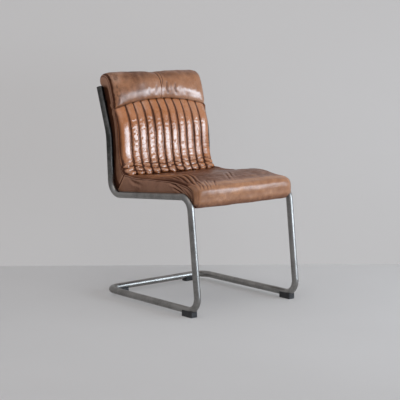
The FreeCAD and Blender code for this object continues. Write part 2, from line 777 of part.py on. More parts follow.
def yoke_line(place, inset):
    """Front and top of the yoke in side view at a place across the width: points and arc middles."""
    full = fullness(place)
    crown = size("back_crown") * crown_at(place)
    low = arch_height(place) + GAP + max(inset - size("cover_thickness"), 0)
    shoulder = size("yoke_shoulder_height")
    middle_dip = size("ridge_dip") * max(1 - abs(place) / (PANEL_HALF / 2), 0) ** 2
    ridge = size("side_top_height") + (size("ridge_height") - size("side_top_height")) * full - middle_dip
    hem = size("yoke_hem_height")
    bulge = size("yoke_bulge") * (1 + full) / 2
    start = side(seam_depth(low) - crown, low, place)
    turn = side(seam_depth(shoulder) - crown, shoulder, place)
    top = side(post_depth(ridge) - size("ridge_setback"), ridge, place)
    end = side(post_depth(hem) + (TUBE_R - GAP) / UPPER_POST.z, hem, place)
    fall = heading(top, end)
    roundness = size("ridge_roundness") * (0.7 + 0.3 * full)
    outline = [
        start, (start + turn) / 2 - Vector(0, bulge, 0), turn,
        (turn + top) / 2 + Vector(0, -UPPER_POST.z, UPPER_POST.z) * (bulge / 2 + 2 * full), top,
        (top + end) / 2 + Vector(0, -fall.z, fall.y) * roundness, end,
    ]
    if not inset:
        return outline
    backward = Vector(0, inset, 0)
    down = Vector(0, 0, -inset)
    front_corner = (backward + down) * math.sqrt(0.5)
    rear_corner = (down - backward) * math.sqrt(0.5)
    moves = [backward, backward, backward, front_corner, down, rear_corner, -backward]
    return [point + move for point, move in zip(outline, moves)]


def arcs_through(points):
    """Arcs through points that alternate with their middles."""
    return [arc(*points[index:index + 3]) for index in range(0, len(points) - 1, 2)]


def yoke_section(place):
    outer = yoke_line(place, 0)
    inner = yoke_line(place, size("cover_thickness"))
    return closed(
        arcs_through(outer) + arcs_through(inner) + [line(outer[0], inner[0]), line(outer[-1], inner[-1])])


YOKE_SHARES = (1.0, 0.95, 0.85, 0.65, 0.4, 0.2)
yoke_places = [-share * PANEL_HALF for share in YOKE_SHARES] + [-GAP / 2]
back_yoke_left = feature(
    "back_yoke_left", Part.makeLoft([yoke_section(place) for place in yoke_places], True, False))
back_yoke_right = mirrored("back_yoke_right", back_yoke_left)


def yoke_foam_section(place):
    inner = yoke_line(place, FOAM_INSET)
    corners = [inner[-1], side(inner[-1].y, inner[0].z, place), inner[0]]
    return closed(arcs_through(inner) + [line(start, end) for start, end in zip(corners, corners[1:])])


foam_places = [-share * foam_half for share in YOKE_SHARES] + [0.0]
foam_places += [-place for place in foam_places[-2::-1]]
yoke_foam_block = Part.makeLoft([yoke_foam_section(place) for place in foam_places], True, False)
feature("yoke_foam", yoke_foam_block.cut(padding_limit))


# Seat cushion: one leather panel from under the back, over the crown and the nose, to a hem below

def seat_line(place, inset):
    """Top and nose of the seat in side view at a place across the width: points and arc middles."""
    full = fullness(place)

    def between(edge, middle):
        return size(edge) + (size(middle) - size(edge)) * full

    rear = side(size("seat_tuck_depth"), size("seat_rear_height"), place)
    crown = side(size("seat_crown_depth"), between("seat_seam_height", "seat_crown_height"), place)
    crease = side(between("side_crease_depth", "crease_depth"), between("side_crease_height", "crease_height"), place)
    nose = side(between("side_nose_depth", "nose_depth"), between("side_nose_height", "nose_height"), place)
    foot = side(between("side_nose_bottom_depth", "nose_bottom_depth"), size("nose_bottom_height"), place)
    outline = [
        rear, (rear + crown) / 2 - Vector(0, 0, size("seat_dip")), crown,
        (crown + crease) / 2 + Vector(0, 0, size("seat_dip") * 2), crease,
        (crease + nose) / 2 + Vector(0, -1, 1) * size("nose_bulge") * 1.5, nose,
        (nose + foot) / 2 - Vector(0, size("nose_bulge"), 0), foot,
    ]
    if not inset:
        return outline
    down = Vector(0, 0, -inset)
    back = Vector(0, inset, 0)
    corner = (down + back) * math.sqrt(0.5)
    moves = [down, down, down, down, corner, corner, back, back, back - down]
    return [point + move for point, move in zip(outline, moves)]


def seat_section(place):
    outer = seat_line(place, 0)
    inner = seat_line(place, size("cover_thickness"))
    hem = side(size("nose_return_depth"), size("nose_bottom_height"), place)
    hem_top = side(hem.y, inner[-1].z, place)
    ends = [line(outer[0], inner[0]), line(outer[-1], hem), line(hem, hem_top), line(hem_top, inner[-1])]
    return closed(arcs_through(outer) + arcs_through(inner) + ends)


SEAT_SHARES = (1.0, 0.97, 0.9, 0.75, 0.45)
seat_places = [-share * PANEL_HALF for share in SEAT_SHARES] + [0.0]
seat_places += [-place for place in seat_places[-2::-1]]
feature("seat_cover", Part.makeLoft([seat_section(place) for place in seat_places], True, False))


def seat_foam_section(place):
    inner = seat_line(place, FOAM_INSET)
    low = inner[-1]
    corners = [low, side(size("nose_return_depth"), low.z, place), side(inner[0].y, low.z, place), inner[0]]
    return closed(arcs_through(inner) + [line(start, end) for start, end in zip(corners, corners[1:])])


foam_places = [place * foam_half / PANEL_HALF for place in seat_places]
seat_foam_block = Part.makeLoft([seat_foam_section(place) for place in foam_places], True, False)
feature("seat_foam", seat_foam_block.cut(padding_limit))


# Side covers: a seam runs from the foot of the back to the middle of the lower bend

def lower_bend(distance):
    """Centre and radius of the lower bend, moved towards the sitter, and its arc's three points."""
    points, radii = moved_path([POST_KINK, RAIL_BACK, RAIL_FRONT], [size("bend_radius")], distance)
    marks = bend(*points, radii[0])
    inward = (heading(points[1], points[0]) + heading(points[1], points[2])).normalize()
    return marks[1] + inward * radii[0], radii[0], marks


def short_arc(centre, radius, start, end):
    middle = centre + (start + end - centre * 2).normalize() * radius
    return arc(start, middle, end)


def side_cover(label, edges):
    """A cover on the left side, from the outline of its outer edges."""
    return feature(label, across(closed(edges), -PANEL_HALF - GAP, start=-BODY_HALF))


def flat(points):
    return [side(point.y, point.z) for point in points]


def chain(points):
    return [line(start, end) for start, end in zip(points, points[1:])]


foot_height = size("back_foot_height")
mitre_top = side(seam_depth(foot_height), foot_height)
inner_centre, inner_radius, (_, mitre_middle, rail_start) = lower_bend(SHELL_NEAR)
outer_centre, outer_radius, (post_start, mitre_end, _) = lower_bend(REAR_FACE)

seat_seam = flat(seat_line(PANEL_HALF, 0))[2:]
seat_hem = side(size("nose_return_depth"), size("nose_bottom_height"))
rail_point = on_line(RAIL_BACK, RAIL_FRONT, depth=seat_hem.y) + Vector(0, RAIL.z, -RAIL.y) * SHELL_NEAR
seat_dip = side((mitre_top.y + seat_seam[0].y) / 2, size("seat_rear_height"))
seat_edges = [arc(mitre_top, seat_dip, seat_seam[0])] + arcs_through(seat_seam)
seat_edges += chain([seat_seam[-1], seat_hem, rail_point, rail_start])
seat_edges += [short_arc(inner_centre, inner_radius, rail_start, mitre_middle), line(mitre_middle, mitre_top)]
seat_side_cover_left = side_cover("seat_side_cover_left", seat_edges)
mirrored("seat_side_cover_right", seat_side_cover_left)

yoke_seam = flat(yoke_line(PANEL_HALF, 0))
SEAM_STEPS = 8
seam_rise = (yoke_seam[0].z - foot_height) / SEAM_STEPS
seam_heights = [foot_height + step * seam_rise for step in range(SEAM_STEPS)]
front_seam = [side(seam_depth(height), height) for height in seam_heights] + yoke_seam
rear_points, rear_radii_moved = moved_path(
    [POST_TOP, POST_KINK, RAIL_BACK, RAIL_FRONT], rear_radii, REAR_FACE)
rear_points[0] = yoke_seam[-1]
back_edges = arcs_through(front_seam) + bent_path(rear_points, rear_radii_moved)[:3]
back_edges += [short_arc(outer_centre, outer_radius, post_start, mitre_end)]
back_edges += chain([mitre_end, mitre_middle, mitre_top])
plain_side = side_cover("plain_side_cover", back_edges)

slots = []
for name in ("back_crossbar_low", "back_crossbar_high"):
    slot = Part.makeBox(2 * BODY_HALF + 1, size("bar_width") + 2 * GAP, size("bar_thickness") + 2 * GAP)
    slot.translate(Vector(-BODY_HALF - 0.5, -size("bar_width") / 2 - GAP, -BAR_HALF - GAP))
    slot.Placement = stations[name].multiply(slot.Placement)
    slots.append(slot)
bar_slots = feature("bar_slots", Part.makeCompound(slots))
back_side_cover_left = cut("back_side_cover_left", plain_side, bar_slots)
mirrored("back_side_cover_right", back_side_cover_left)


# Checks and export

NODES = [
    "frame_tube_left", "frame_tube_right", "tube_joint_spigot", "post_cap_left", "post_cap_right",
    "front_glide_left", "front_glide_right", "rear_glide_left", "rear_glide_right", "glide_rivets",
    "seat_crossbar_front", "seat_crossbar_rear", "back_crossbar_low", "back_crossbar_high",
    "shell_bolts", "shell_washers", "tee_nuts", "plywood_shell", "seat_lining",
    "seat_foam", "back_foam", "yoke_foam", "rear_padding",
    "seat_cover", "back_channel_panel", "back_yoke_left", "back_yoke_right",
    "seat_side_cover_left", "seat_side_cover_right", "back_side_cover_left", "back_side_cover_right",
    "rear_cover",
]

doc.recompute()
for item in doc.Objects:
    if "Invalid" in item.State or "Error" in item.State:
        raise RuntimeError(f"{item.Label} did not recompute: {item.State}")
for node in NODES:
    shape = doc.getObject(node).Shape
    if shape.isNull() or not shape.isValid():
        raise RuntimeError(f"{node} has no valid shape")
for node in NODES:
    doc.getObject(node).Shape.exportStep(f"parts/{node}.step")
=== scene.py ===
"""Looks of the leather dining chair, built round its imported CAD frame.

Shapes are worked out in millimetres in the frame's own axes and turn into metres when a mesh is made.
"""

import math

import bmesh
import bpy
import numpy as np
from bpy.props import FloatProperty, FloatVectorProperty, IntProperty, PointerProperty
from bpy.types import Operator, Panel, PropertyGroup
from mathutils import Matrix, Vector


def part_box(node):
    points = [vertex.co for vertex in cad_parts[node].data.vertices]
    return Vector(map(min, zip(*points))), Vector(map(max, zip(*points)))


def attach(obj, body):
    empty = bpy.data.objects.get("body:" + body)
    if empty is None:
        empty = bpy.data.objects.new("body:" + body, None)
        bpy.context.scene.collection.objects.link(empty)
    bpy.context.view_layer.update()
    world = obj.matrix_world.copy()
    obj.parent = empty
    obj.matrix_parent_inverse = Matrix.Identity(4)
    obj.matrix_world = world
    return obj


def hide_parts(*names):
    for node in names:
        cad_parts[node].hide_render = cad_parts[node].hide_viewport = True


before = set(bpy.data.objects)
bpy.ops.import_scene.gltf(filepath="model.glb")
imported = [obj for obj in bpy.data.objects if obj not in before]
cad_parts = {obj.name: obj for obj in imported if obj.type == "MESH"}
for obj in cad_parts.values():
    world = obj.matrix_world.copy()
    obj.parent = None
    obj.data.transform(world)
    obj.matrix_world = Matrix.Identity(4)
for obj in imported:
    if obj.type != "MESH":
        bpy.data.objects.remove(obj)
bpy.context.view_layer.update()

bl_info = {
    "name": "Leather cantilever chair",
    "version": (1, 0, 0),
    "blender": (4, 5, 0),
    "location": "View3D > Sidebar > Chair",
    "description": "Dresses the chair's frame with leather, steel, plastic and stitching",
    "category": "Object",
}

MM = 0.001


def far_side(cad_node):
    """Largest x of a CAD node, in millimetres."""
    return np.array(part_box(cad_node)[1])[0] / MM


def length(name, description, default):
    """A length property whose default is given in millimetres."""
    return FloatProperty(name=name, description=description, default=default * MM, unit="LENGTH", precision=5)


def colour(name, description, default):
    return FloatVectorProperty(
        name=name, description=description, default=default, subtype="COLOR", size=3, min=0, max=1)


# Sizes and colours that a user would change

class ChairSizes(PropertyGroup):
    body_half: length("Half body", "Half width of the upholstered body", far_side("back_side_cover_right"))
    panel_half: length("Half panel", "Half width of the front panels", far_side("seat_cover"))
    channel_pitch: length("Channel pitch", "Distance between the grooves of the back", 37.8)
    channel_count: IntProperty(name="Channels", description="Sewn channels of the back", default=11, min=3)
    channel_height: length("Channel height", "How far a channel stands out of its grooves", 6.8)
    back_crown: length("Back crown", "How far the middle of the back stands forward of its sides", 10.0)
    nose_bulge: length("Nose bulge", "How far the ends of the seat's nose swell sideways", 16.0)
    seam_width: length("Seam width", "Width of the valley along a seam", 6.0)
    seam_depth: length("Seam depth", "Depth of the valley along a seam", 2.6)
    topstitch: length("Topstitch", "Distance of the topstitching from a seam", 7.0)
    stitch_length: length("Stitch length", "Length of one stitch", 3.4)
    stitch_gap: length("Stitch gap", "Gap between two stitches", 1.4)
    thread_thickness: length("Thread", "Thickness of the sewing thread", 0.8)


class ChairColours(PropertyGroup):
    leather: colour("Seat leather", "Middle tone of the waxed leather of the seat", (0.190, 0.068, 0.028))
    leather_yoke: colour("Yoke leather", "Middle tone of the yoke", (0.355, 0.142, 0.056))
    leather_back: colour("Channel leather", "Middle tone of the channels", (0.450, 0.150, 0.041))
    # paler than the other leathers: a painted sheen of the wall that the side covers reflect; also used for the
    # rear panel
    leather_side: colour("Side leather", "Middle tone of the side covers", (0.430, 0.210, 0.126))
    # leather_dark is also the tone of the painted shade in seams, grooves, folds and by the posts
    leather_dark: colour("Leather in folds", "Tone in seams, folds and dark patches", (0.078, 0.021, 0.006))
    # leather_light is also the tone of the painted sheen on crests, along the seat's crease and on its nose
    leather_light: colour("Rubbed leather", "Tone of stretched or rubbed leather", (0.47, 0.220, 0.105))
    thread: colour("Thread", "Sewing thread", (0.130, 0.060, 0.034))
    steel: colour("Steel", "Bare steel of the frame", (0.320, 0.310, 0.297))
    # stains of the steel, and the painted dark reflection up the posts
    stains_and_dark_reflection: colour("Stains and dark reflection", "Darkened steel of the posts", (0.060, 0.059, 0.056))
    plastic: colour("Plastic", "Black glides and caps", (0.018, 0.018, 0.020))
    plywood: colour("Plywood", "Face veneer of the shell", (0.50, 0.32, 0.17))
    zinc: colour("Zinc", "Bolts, washers and nuts", (0.46, 0.46, 0.45))
    lining: colour("Lining", "Cloth under the seat", (0.012, 0.012, 0.013))


class StageSettings(PropertyGroup):
    floor: colour("Floor", "Pale floor", (0.645, 0.630, 0.621))
    wall: colour("Wall", "Pale wall behind the chair", (0.625, 0.611, 0.608))
    wall_distance: length("Wall distance", "From the camera to the wall, along the floor", 5155.0)


def sizes():
    return bpy.context.scene.chair_sizes


def colours():
    return bpy.context.scene.chair_colours


def mm(name):
    """One of the chair's lengths, in millimetres."""
    return getattr(sizes(), name) / MM


# Curves

def hermite(knots, travelled, places):
    """A smooth curve through knots, at places measured in the same way as travelled."""
    slopes = np.gradient(knots, travelled, axis=0)
    index = np.clip(np.searchsorted(travelled, places, side="right") - 1, 0, len(travelled) - 2)
    spread = (-1,) + (1,) * (knots.ndim - 1)
    step = (travelled[index + 1] - travelled[index]).reshape(spread)
    t = (places - travelled[index]).reshape(spread) / step
    return ((1 + 2 * t) * (1 - t) ** 2 * knots[index] + t * (1 - t) ** 2 * step * slopes[index]
            + t * t * (3 - 2 * t) * knots[index + 1] + t * t * (t - 1) * step * slopes[index + 1])


def run_of(line):
    """Distance travelled along a line at each of its points."""
    return np.concatenate([[0], np.cumsum(np.linalg.norm(np.diff(line, axis=0), axis=1))])


def smooth_lines(keys, count):
    """Smooth lines through several lists of keys that belong together, cut at the same places.

    The places are evenly spaced along the first line.
    """
    keys = [np.array(key, float) for key in keys]
    travelled = run_of(keys[0])
    fine = np.linspace(0, travelled[-1], 8 * count)
    run = run_of(hermite(keys[0], travelled, fine))
    places = np.interp(np.linspace(0, run[-1], count), run, fine)
    return [hermite(key, travelled, places) for key in keys]


def rounded(corners, radii, step):
    """A broken line with rounded corners, as points about a step apart."""
    corners = [np.array(corner, float) for corner in corners]
    points = [corners[0]]
    for before, corner, after, radius in zip(corners, corners[1:], corners[2:], radii):
        back = (before - corner) / np.linalg.norm(before - corner)
        onward = (after - corner) / np.linalg.norm(after - corner)
        half = math.acos(np.clip(np.dot(back, onward), -1, 1)) / 2
        inward = (back + onward) / np.linalg.norm(back + onward)
        centre = corner + inward * radius / math.sin(half)
        start = corner + back * radius / math.tan(half) - centre
        turn = math.pi - 2 * half
        tangent = -back
        count = max(int(turn * radius / step), 3)
        for share in np.linspace(0, 1, count + 1):
            points.append(centre + start * math.cos(turn * share) + tangent * radius * math.sin(turn * share))
    points = np.array(points + [corners[-1]])
    run = run_of(points)
    even = np.linspace(0, run[-1], int(run[-1] / step) + 1)
    return np.stack([np.interp(even, run, points[:, axis]) for axis in range(points.shape[1])], axis=1)


def offset(line, distance):
    """A side-view line moved to its left, seen along its own direction."""
    along = np.gradient(line, axis=0)
    along /= np.linalg.norm(along, axis=1, keepdims=True)
    return line + distance * np.stack([along[:, 1], -along[:, 0]], axis=1)


# Noise, folds and relief

def smoothstep(low, high, value):
    t = np.clip((value - low) / (high - low), 0, 1)
    return t * t * (3 - 2 * t)


def noise(x, y, seed):
    """Smooth gradient noise over a plane, about -1 to 1."""
    angles = np.random.default_rng(seed).uniform(0, 2 * np.pi, (128, 128))
    column, row = np.floor(x).astype(int), np.floor(y).astype(int)
    fx, fy = x - column, y - row
    blend_x, blend_y = fx ** 3 * (fx * (fx * 6 - 15) + 10), fy ** 3 * (fy * (fy * 6 - 15) + 10)

    def corner(i, j):
        angle = angles[(row + j) % 128, (column + i) % 128]
        return np.cos(angle) * (fx - i) + np.sin(angle) * (fy - j)

    low = corner(0, 0) * (1 - blend_x) + corner(1, 0) * blend_x
    high = corner(0, 1) * (1 - blend_x) + corner(1, 1) * blend_x
    return 1.5 * (low * (1 - blend_y) + high * blend_y)


def distance_to(x, y, line):
    """Distance of every point to a broken line, and the share of the line's length at the nearest place."""
    line = np.array(line, float)
    travelled = run_of(line)
    nearest = np.full(x.shape, 1e9)
    place = np.zeros(x.shape)
    for start, end, before, after in zip(line, line[1:], travelled, travelled[1:]):
        along = (end - start) / (after - before)
        t = np.clip((x - start[0]) * along[0] + (y - start[1]) * along[1], 0, after - before)
        away = np.hypot(x - start[0] - along[0] * t, y - start[1] - along[1] * t)
        closer = away < nearest
        nearest = np.where(closer, away, nearest)
        place = np.where(closer, (before + t) / travelled[-1], place)
    return nearest, place


def fold(x, y, line, height, width):
    """One crease: a narrow valley with a soft ridge on each side, fading out towards both ends."""
    away, place = distance_to(x, y, line)
    fade = np.sin(np.pi * place) ** 0.6
    t = away / width
    return height * fade * (0.8 * np.exp(-1.3 * (t - 1.7) ** 2) - np.exp(-1.8 * t * t))


def valley(away, width, depth):
    """Leather that rolls in along a seam."""
    return -depth * np.clip(1 - away / width, 0, 1) ** 2


def blurred(relief, blurs):
    for _ in range(blurs):
        padded = np.pad(relief, 1, mode="edge")
        relief = (padded[:-2, 1:-1] + padded[2:, 1:-1] + padded[1:-1, :-2] + padded[1:-1, 2:]) / 4
    return relief


def fold_shade(relief, blurs, strength=1.0):
    """Below zero in the valleys of a relief and above zero on its crests."""
    return np.clip((relief - blurred(relief, blurs)) * strength, -1, 1)


def line_shade(away, width, strength=1.0):
    """The dark line along a seam or a row of stitches."""
    return strength * np.exp(-(away / width) ** 2)


# Meshes

def new_object(name, data):
    made = bpy.data.objects.new(name, data)
    bpy.context.scene.collection.objects.link(made)
    return made


def new_mesh(name, points, edges=(), faces=()):
    """A mesh whose points are given in millimetres."""
    mesh = bpy.data.meshes.new(name)
    mesh.from_pydata((np.asarray(points, float) * MM).tolist(), edges, faces)
    mesh.polygons.foreach_set("use_smooth", [True] * len(mesh.polygons))
    mesh.update()
    return mesh


def grid_normals(grid, outward):
    """Unit normals of a grid, turned so that most of them point outward."""
    normals = np.cross(np.gradient(grid, axis=0), np.gradient(grid, axis=1))
    normals /= np.maximum(np.linalg.norm(normals, axis=2, keepdims=True), 1e-9)
    return normals if np.sum(normals * np.array(outward, float)) > 0 else -normals


def face_outward(piece):
    """Turns a closed mesh right side out."""
    shape = bmesh.new()
    shape.from_mesh(piece.data)
    if shape.calc_volume(signed=True) < 0:
        bmesh.ops.reverse_faces(shape, faces=shape.faces)
        shape.to_mesh(piece.data)
    shape.free()


def in_space(x, profile):
    """Points from their places across the width and their side-view points."""
    return np.concatenate([np.broadcast_to(x, profile.shape[:-1])[..., None], profile], axis=-1)


def lifted(grid, outward, height):
    """A grid moved out along its normals, everywhere alike or by a height for each point."""
    return grid + grid_normals(grid, outward) * np.atleast_3d(height)


def closed_piece(name, front, backs, shade):
    """A closed cushion: a detailed front grid, and a plain back between two lines, one at each side.

    Each line of the back is given with its place across the width.
    """
    rows, columns = front.shape[:2]
    index = np.arange(rows * columns).reshape(rows, columns)
    left = np.arange(rows) + rows * columns
    right = left + rows

    def quads(*corners):
        return np.stack(corners, axis=-1).reshape(-1, 4).tolist()

    faces = quads(index[:-1, :-1], index[:-1, 1:], index[1:, 1:], index[1:, :-1])
    faces += quads(index[:-1, 0], index[1:, 0], left[1:], left[:-1])
    faces += quads(index[1:, -1], index[:-1, -1], right[:-1], right[1:])
    faces += quads(left[:-1], left[1:], right[1:], right[:-1])
    faces.append(index[0, ::-1].tolist() + [int(left[0]), int(right[0])])
    faces.append(index[-1].tolist() + [int(right[-1]), int(left[-1])])
    behind = [in_space(x, line) for line, x in backs]
    piece = new_object(name, new_mesh(name, np.concatenate([front.reshape(-1, 3), *behind]), faces=faces))
    values = np.zeros(len(piece.data.vertices), np.float32)
    values[:rows * columns] = np.clip(shade, -1, 1).ravel()
    piece.data.attributes.new("fold_shade", "FLOAT", "POINT").data.foreach_set("value", values)
    face_outward(piece)
    return piece


def upholster(name, front, backs, shade, finish_name, nodes):
    """Makes a cushion of leather in the place of its CAD nodes."""
    piece = closed_piece(name, front, backs, shade)
    piece.data.materials.append(leather(finish_name))
    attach(piece, "root")
    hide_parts(*nodes)


# Stitches

STITCH_LIFT = 0.2  # of the stitches off the leather


def stitch_tree():
    """Geometry Nodes that lay one small stitch after another along the edges of a guide."""
    tree = bpy.data.node_groups.new("stitches", "GeometryNodeTree")
    kinds = {"Geometry": "Geometry", "Spacing": "Float", "Length": "Float", "Thickness": "Float",
             "Unevenness": "Float", "Seed": "Int", "Material": "Material"}
    for name, kind in kinds.items():
        tree.interface.new_socket(name, in_out="INPUT", socket_type="NodeSocket" + kind)
    tree.interface.new_socket("Geometry", in_out="OUTPUT", socket_type="NodeSocketGeometry")
    given = tree.nodes.new("NodeGroupInput").outputs
    guide = node(tree, "GeometryNodeMeshToCurve", {"Mesh": given["Geometry"]}).outputs[0]
    points = node(tree, "GeometryNodeCurveToPoints", {
        "Curve": guide, "Length": given["Spacing"]}, mode="LENGTH").outputs
    ball = node(tree, "GeometryNodeMeshUVSphere", {"Segments": 6, "Rings": 4, "Radius": 0.5}).outputs[0]
    least = maths("SUBTRACT", 1.0, given["Unevenness"])
    most = plus(1.0, given["Unevenness"])
    bounds = {2: least, 3: most, 8: given["Seed"]}
    chance = node(tree, "FunctionNodeRandomValue", bounds, data_type="FLOAT").outputs[1]
    long = times(given["Length"], chance)
    thick = given["Thickness"]
    size = node(tree, "ShaderNodeCombineXYZ", {0: thick, 1: thick, 2: long}).outputs[0]
    laid = node(tree, "GeometryNodeInstanceOnPoints", {
        "Points": points["Points"], "Instance": ball, "Rotation": points["Rotation"], "Scale": size}).outputs[0]
    real = node(tree, "GeometryNodeRealizeInstances", {"Geometry": laid}).outputs[0]
    smooth = node(tree, "GeometryNodeSetShadeSmooth", {"Geometry": real}).outputs[0]
    dyed = node(tree, "GeometryNodeSetMaterial", {"Geometry": smooth, "Material": given["Material"]}).outputs[0]
    tree.links.new(dyed, tree.nodes.new("NodeGroupOutput").inputs[0])
    return tree


def sew(name, lines):
    """Makes one piece of all the stitches along several lines of points."""
    points = [tuple(point) for line in lines for point in line]
    starts = np.cumsum([0] + [len(line) for line in lines])
    edges = [(first, first + 1) for start, end in zip(starts, starts[1:]) for first in range(start, end - 1)]
    guide = new_object(name + " guide", new_mesh(name + " guide", points, edges=edges))
    tree = bpy.data.node_groups.get("stitches") or stitch_tree()
    chosen = {
        "Spacing": (mm("stitch_length") + mm("stitch_gap")) * MM, "Length": mm("stitch_length") * MM,
        "Thickness": mm("thread_thickness") * MM, "Unevenness": 0.12, "Seed": 3,
        "Material": hard("thread")}
    laying = guide.modifiers.new("stitches", "NODES")
    laying.node_group = tree
    for socket in tree.interface.items_tree:
        if socket.in_out == "INPUT" and socket.name in chosen:
            laying[socket.identifier] = chosen[socket.name]
    evaluated = guide.evaluated_get(bpy.context.evaluated_depsgraph_get())
    stitches = new_object(name, bpy.data.meshes.new_from_object(evaluated))
    guide.modifiers.clear()
    bpy.data.objects.remove(guide)
    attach(stitches, "root")


def panel_columns(count, crowding):
    """Places across a panel, closer together towards its sides."""
    return mm("panel_half") * np.sin(np.linspace(-1, 1, count) * crowding) / math.sin(crowding)


def across_grid(grid, place, values):
    """The line over a grid where values, one for each of its columns, reach a place."""
    column = int(np.searchsorted(values, place)) - 1
    share = (place - values[column]) / (values[column + 1] - values[column])
    return grid[:, column] * (1 - share) + grid[:, column + 1] * share


def sew_sides(name, grid, across):
    """Sews along both side seams of a panel."""
    place = mm("panel_half") - mm("topstitch")
    sew(name, [across_grid(grid, side * place, across) for side in (-1, 1)])


# Side view of the body: depths and heights of the posts, the rail and the padding

POST_TOP, POST_KINK, RAIL_BACK = (279, 789), (223, 617), (212, 389)
KINK_RADIUS, BEND_RADIUS = 180, 50
BACK_FOOT = 468  # height of the seam between back and seat
SIDE_TOP = 832  # height of the top of the back at its sides
ARCH_SIDE, ARCH_RISE = 711, 33  # height of the yoke's seam at the sides, and its rise in the middle
YOKE_HEM = (295.4, 800)  # behind the back
EDGE_ROLL = 30  # width of the rolled edges of the back
SHELL_FACE = 14.3  # from the post's centre line to the front of the padding's flat back


def post_depth(height):
    """Depth of the post's centre line at a height, also past its ends."""
    def straight(low, high):
        return low[0] + (height - low[1]) * (high[0] - low[0]) / (high[1] - low[1])

    return np.where(height > POST_KINK[1], straight(POST_KINK, POST_TOP), straight(RAIL_BACK, POST_KINK))


SEAM_LINE = np.array([  # height and depth
    (468, 151.3), (476, 161), (485, 168.3), (497, 173.3), (515, 178.3), (534, 183), (560, 187.3), (600, 190),
    (630, 192.6), (650, 196.2), (670, 201.3), (690, 206.2), (711, 211.2), (740, 220), (808, 242.2),
    (860, 259.1)])


def seam_depth(height):
    """Depth of the seam between the front of the back and its side cover."""
    heights, depths = SEAM_LINE.T
    places = np.clip(np.asarray(height, float), heights[0] - 6, heights[-1])
    return hermite(depths, heights, places.ravel()).reshape(places.shape)


def arch_height(x):
    """Height of the seam under the yoke."""
    radius = (mm("body_half") ** 2 + ARCH_RISE ** 2) / (2 * ARCH_RISE)
    return ARCH_SIDE + ARCH_RISE - radius + np.sqrt(radius ** 2 - x ** 2)


def crown(x):
    """How far the front of the back stands forward of its side seams: rolled edges and a slight crown."""
    half = mm("panel_half")
    rim = np.clip(1 - (half - np.abs(x)) / EDGE_ROLL, 0, 1)
    return mm("back_crown") * (0.7 * (1 - (x / half) ** 2) + 0.8 * np.sqrt(1 - rim ** 2))


def fullness(x, square=8):
    """Near one over most of the width, falling quickly to nothing at the side seam."""
    return np.sqrt(np.clip(1 - np.abs(x / mm("panel_half")) ** square, 0, None))


# Materials

def node(tree, kind, values=None, **settings):
    """Adds a node, sets it, and links or fills its inputs."""
    made = tree.nodes.new(kind)
    for name, setting in settings.items():
        setattr(made, name, setting)
    for key, value in (values or {}).items():
        if isinstance(value, bpy.types.NodeSocket):
            tree.links.new(value, made.inputs[key])
        else:
            made.inputs[key].default_value = value
    return made


def new_material(name):
    material = bpy.data.materials.new(name)
    material.use_nodes = True
    return material, material.node_tree, material.node_tree.nodes["Principled BSDF"]


def rgba(value):
    return (*value, 1.0)


def mixed(share, first, second):
    """Colour between two colours."""
    return node(share.id_data, "ShaderNodeMix", {0: share, 6: first, 7: second}, data_type="RGBA").outputs[2]


def maths(how, *values, clamp=False):
    tree = next(value.id_data for value in values if isinstance(value, bpy.types.NodeSocket))
    return node(tree, "ShaderNodeMath", dict(enumerate(values)), operation=how, use_clamp=clamp).outputs[0]


def plus(first, second, clamp=False):
    return maths("ADD", first, second, clamp=clamp)


def times(first, second):
    return maths("MULTIPLY", first, second)


def ranged(value, low, high, new_low=0.0, new_high=1.0):
    """A value moved from one range to another and kept inside it."""
    values = {0: value, 1: low, 2: high, 3: new_low, 4: new_high}
    return node(value.id_data, "ShaderNodeMapRange", values).outputs[0]


def clouds(place, scale, detail, roughness=0.5):
    """Noise: its value, and its colour."""
    values = {"Vector": place, "Scale": scale, "Detail": detail, "Roughness": roughness}
    return node(place.id_data, "ShaderNodeTexNoise", values).outputs


def cells(place, scale, feature):
    values = {"Vector": place, "Scale": scale}
    return node(place.id_data, "ShaderNodeTexVoronoi", values, feature=feature).outputs["Distance"]


def in_object(tree):
    return node(tree, "ShaderNodeTexCoord").outputs["Object"]


def new_skin(name, inputs, outputs=("Color", "Roughness", "Height")):
    """A shader group, its place in object coordinates, its inputs and its outputs.

    An input with no default is a colour, and so is the first output.
    """
    tree = bpy.data.node_groups.new(name, "ShaderNodeTree")
    for socket, default in inputs.items():
        kind = "NodeSocketColor" if default is None else "NodeSocketFloat"
        made = tree.interface.new_socket(socket, in_out="INPUT", socket_type=kind)
        if default is not None:
            made.default_value = default
    for socket in outputs:
        kind = "NodeSocketColor" if socket == "Color" else "NodeSocketFloat"
        tree.interface.new_socket(socket, in_out="OUTPUT", socket_type=kind)
    given, result = tree.nodes.new("NodeGroupInput").outputs, tree.nodes.new("NodeGroupOutput").inputs
    return tree, in_object(tree), given, result


def fill_outputs(sockets, *values):
    for socket, value in zip(sockets, values):
        socket.id_data.links.new(value, socket)


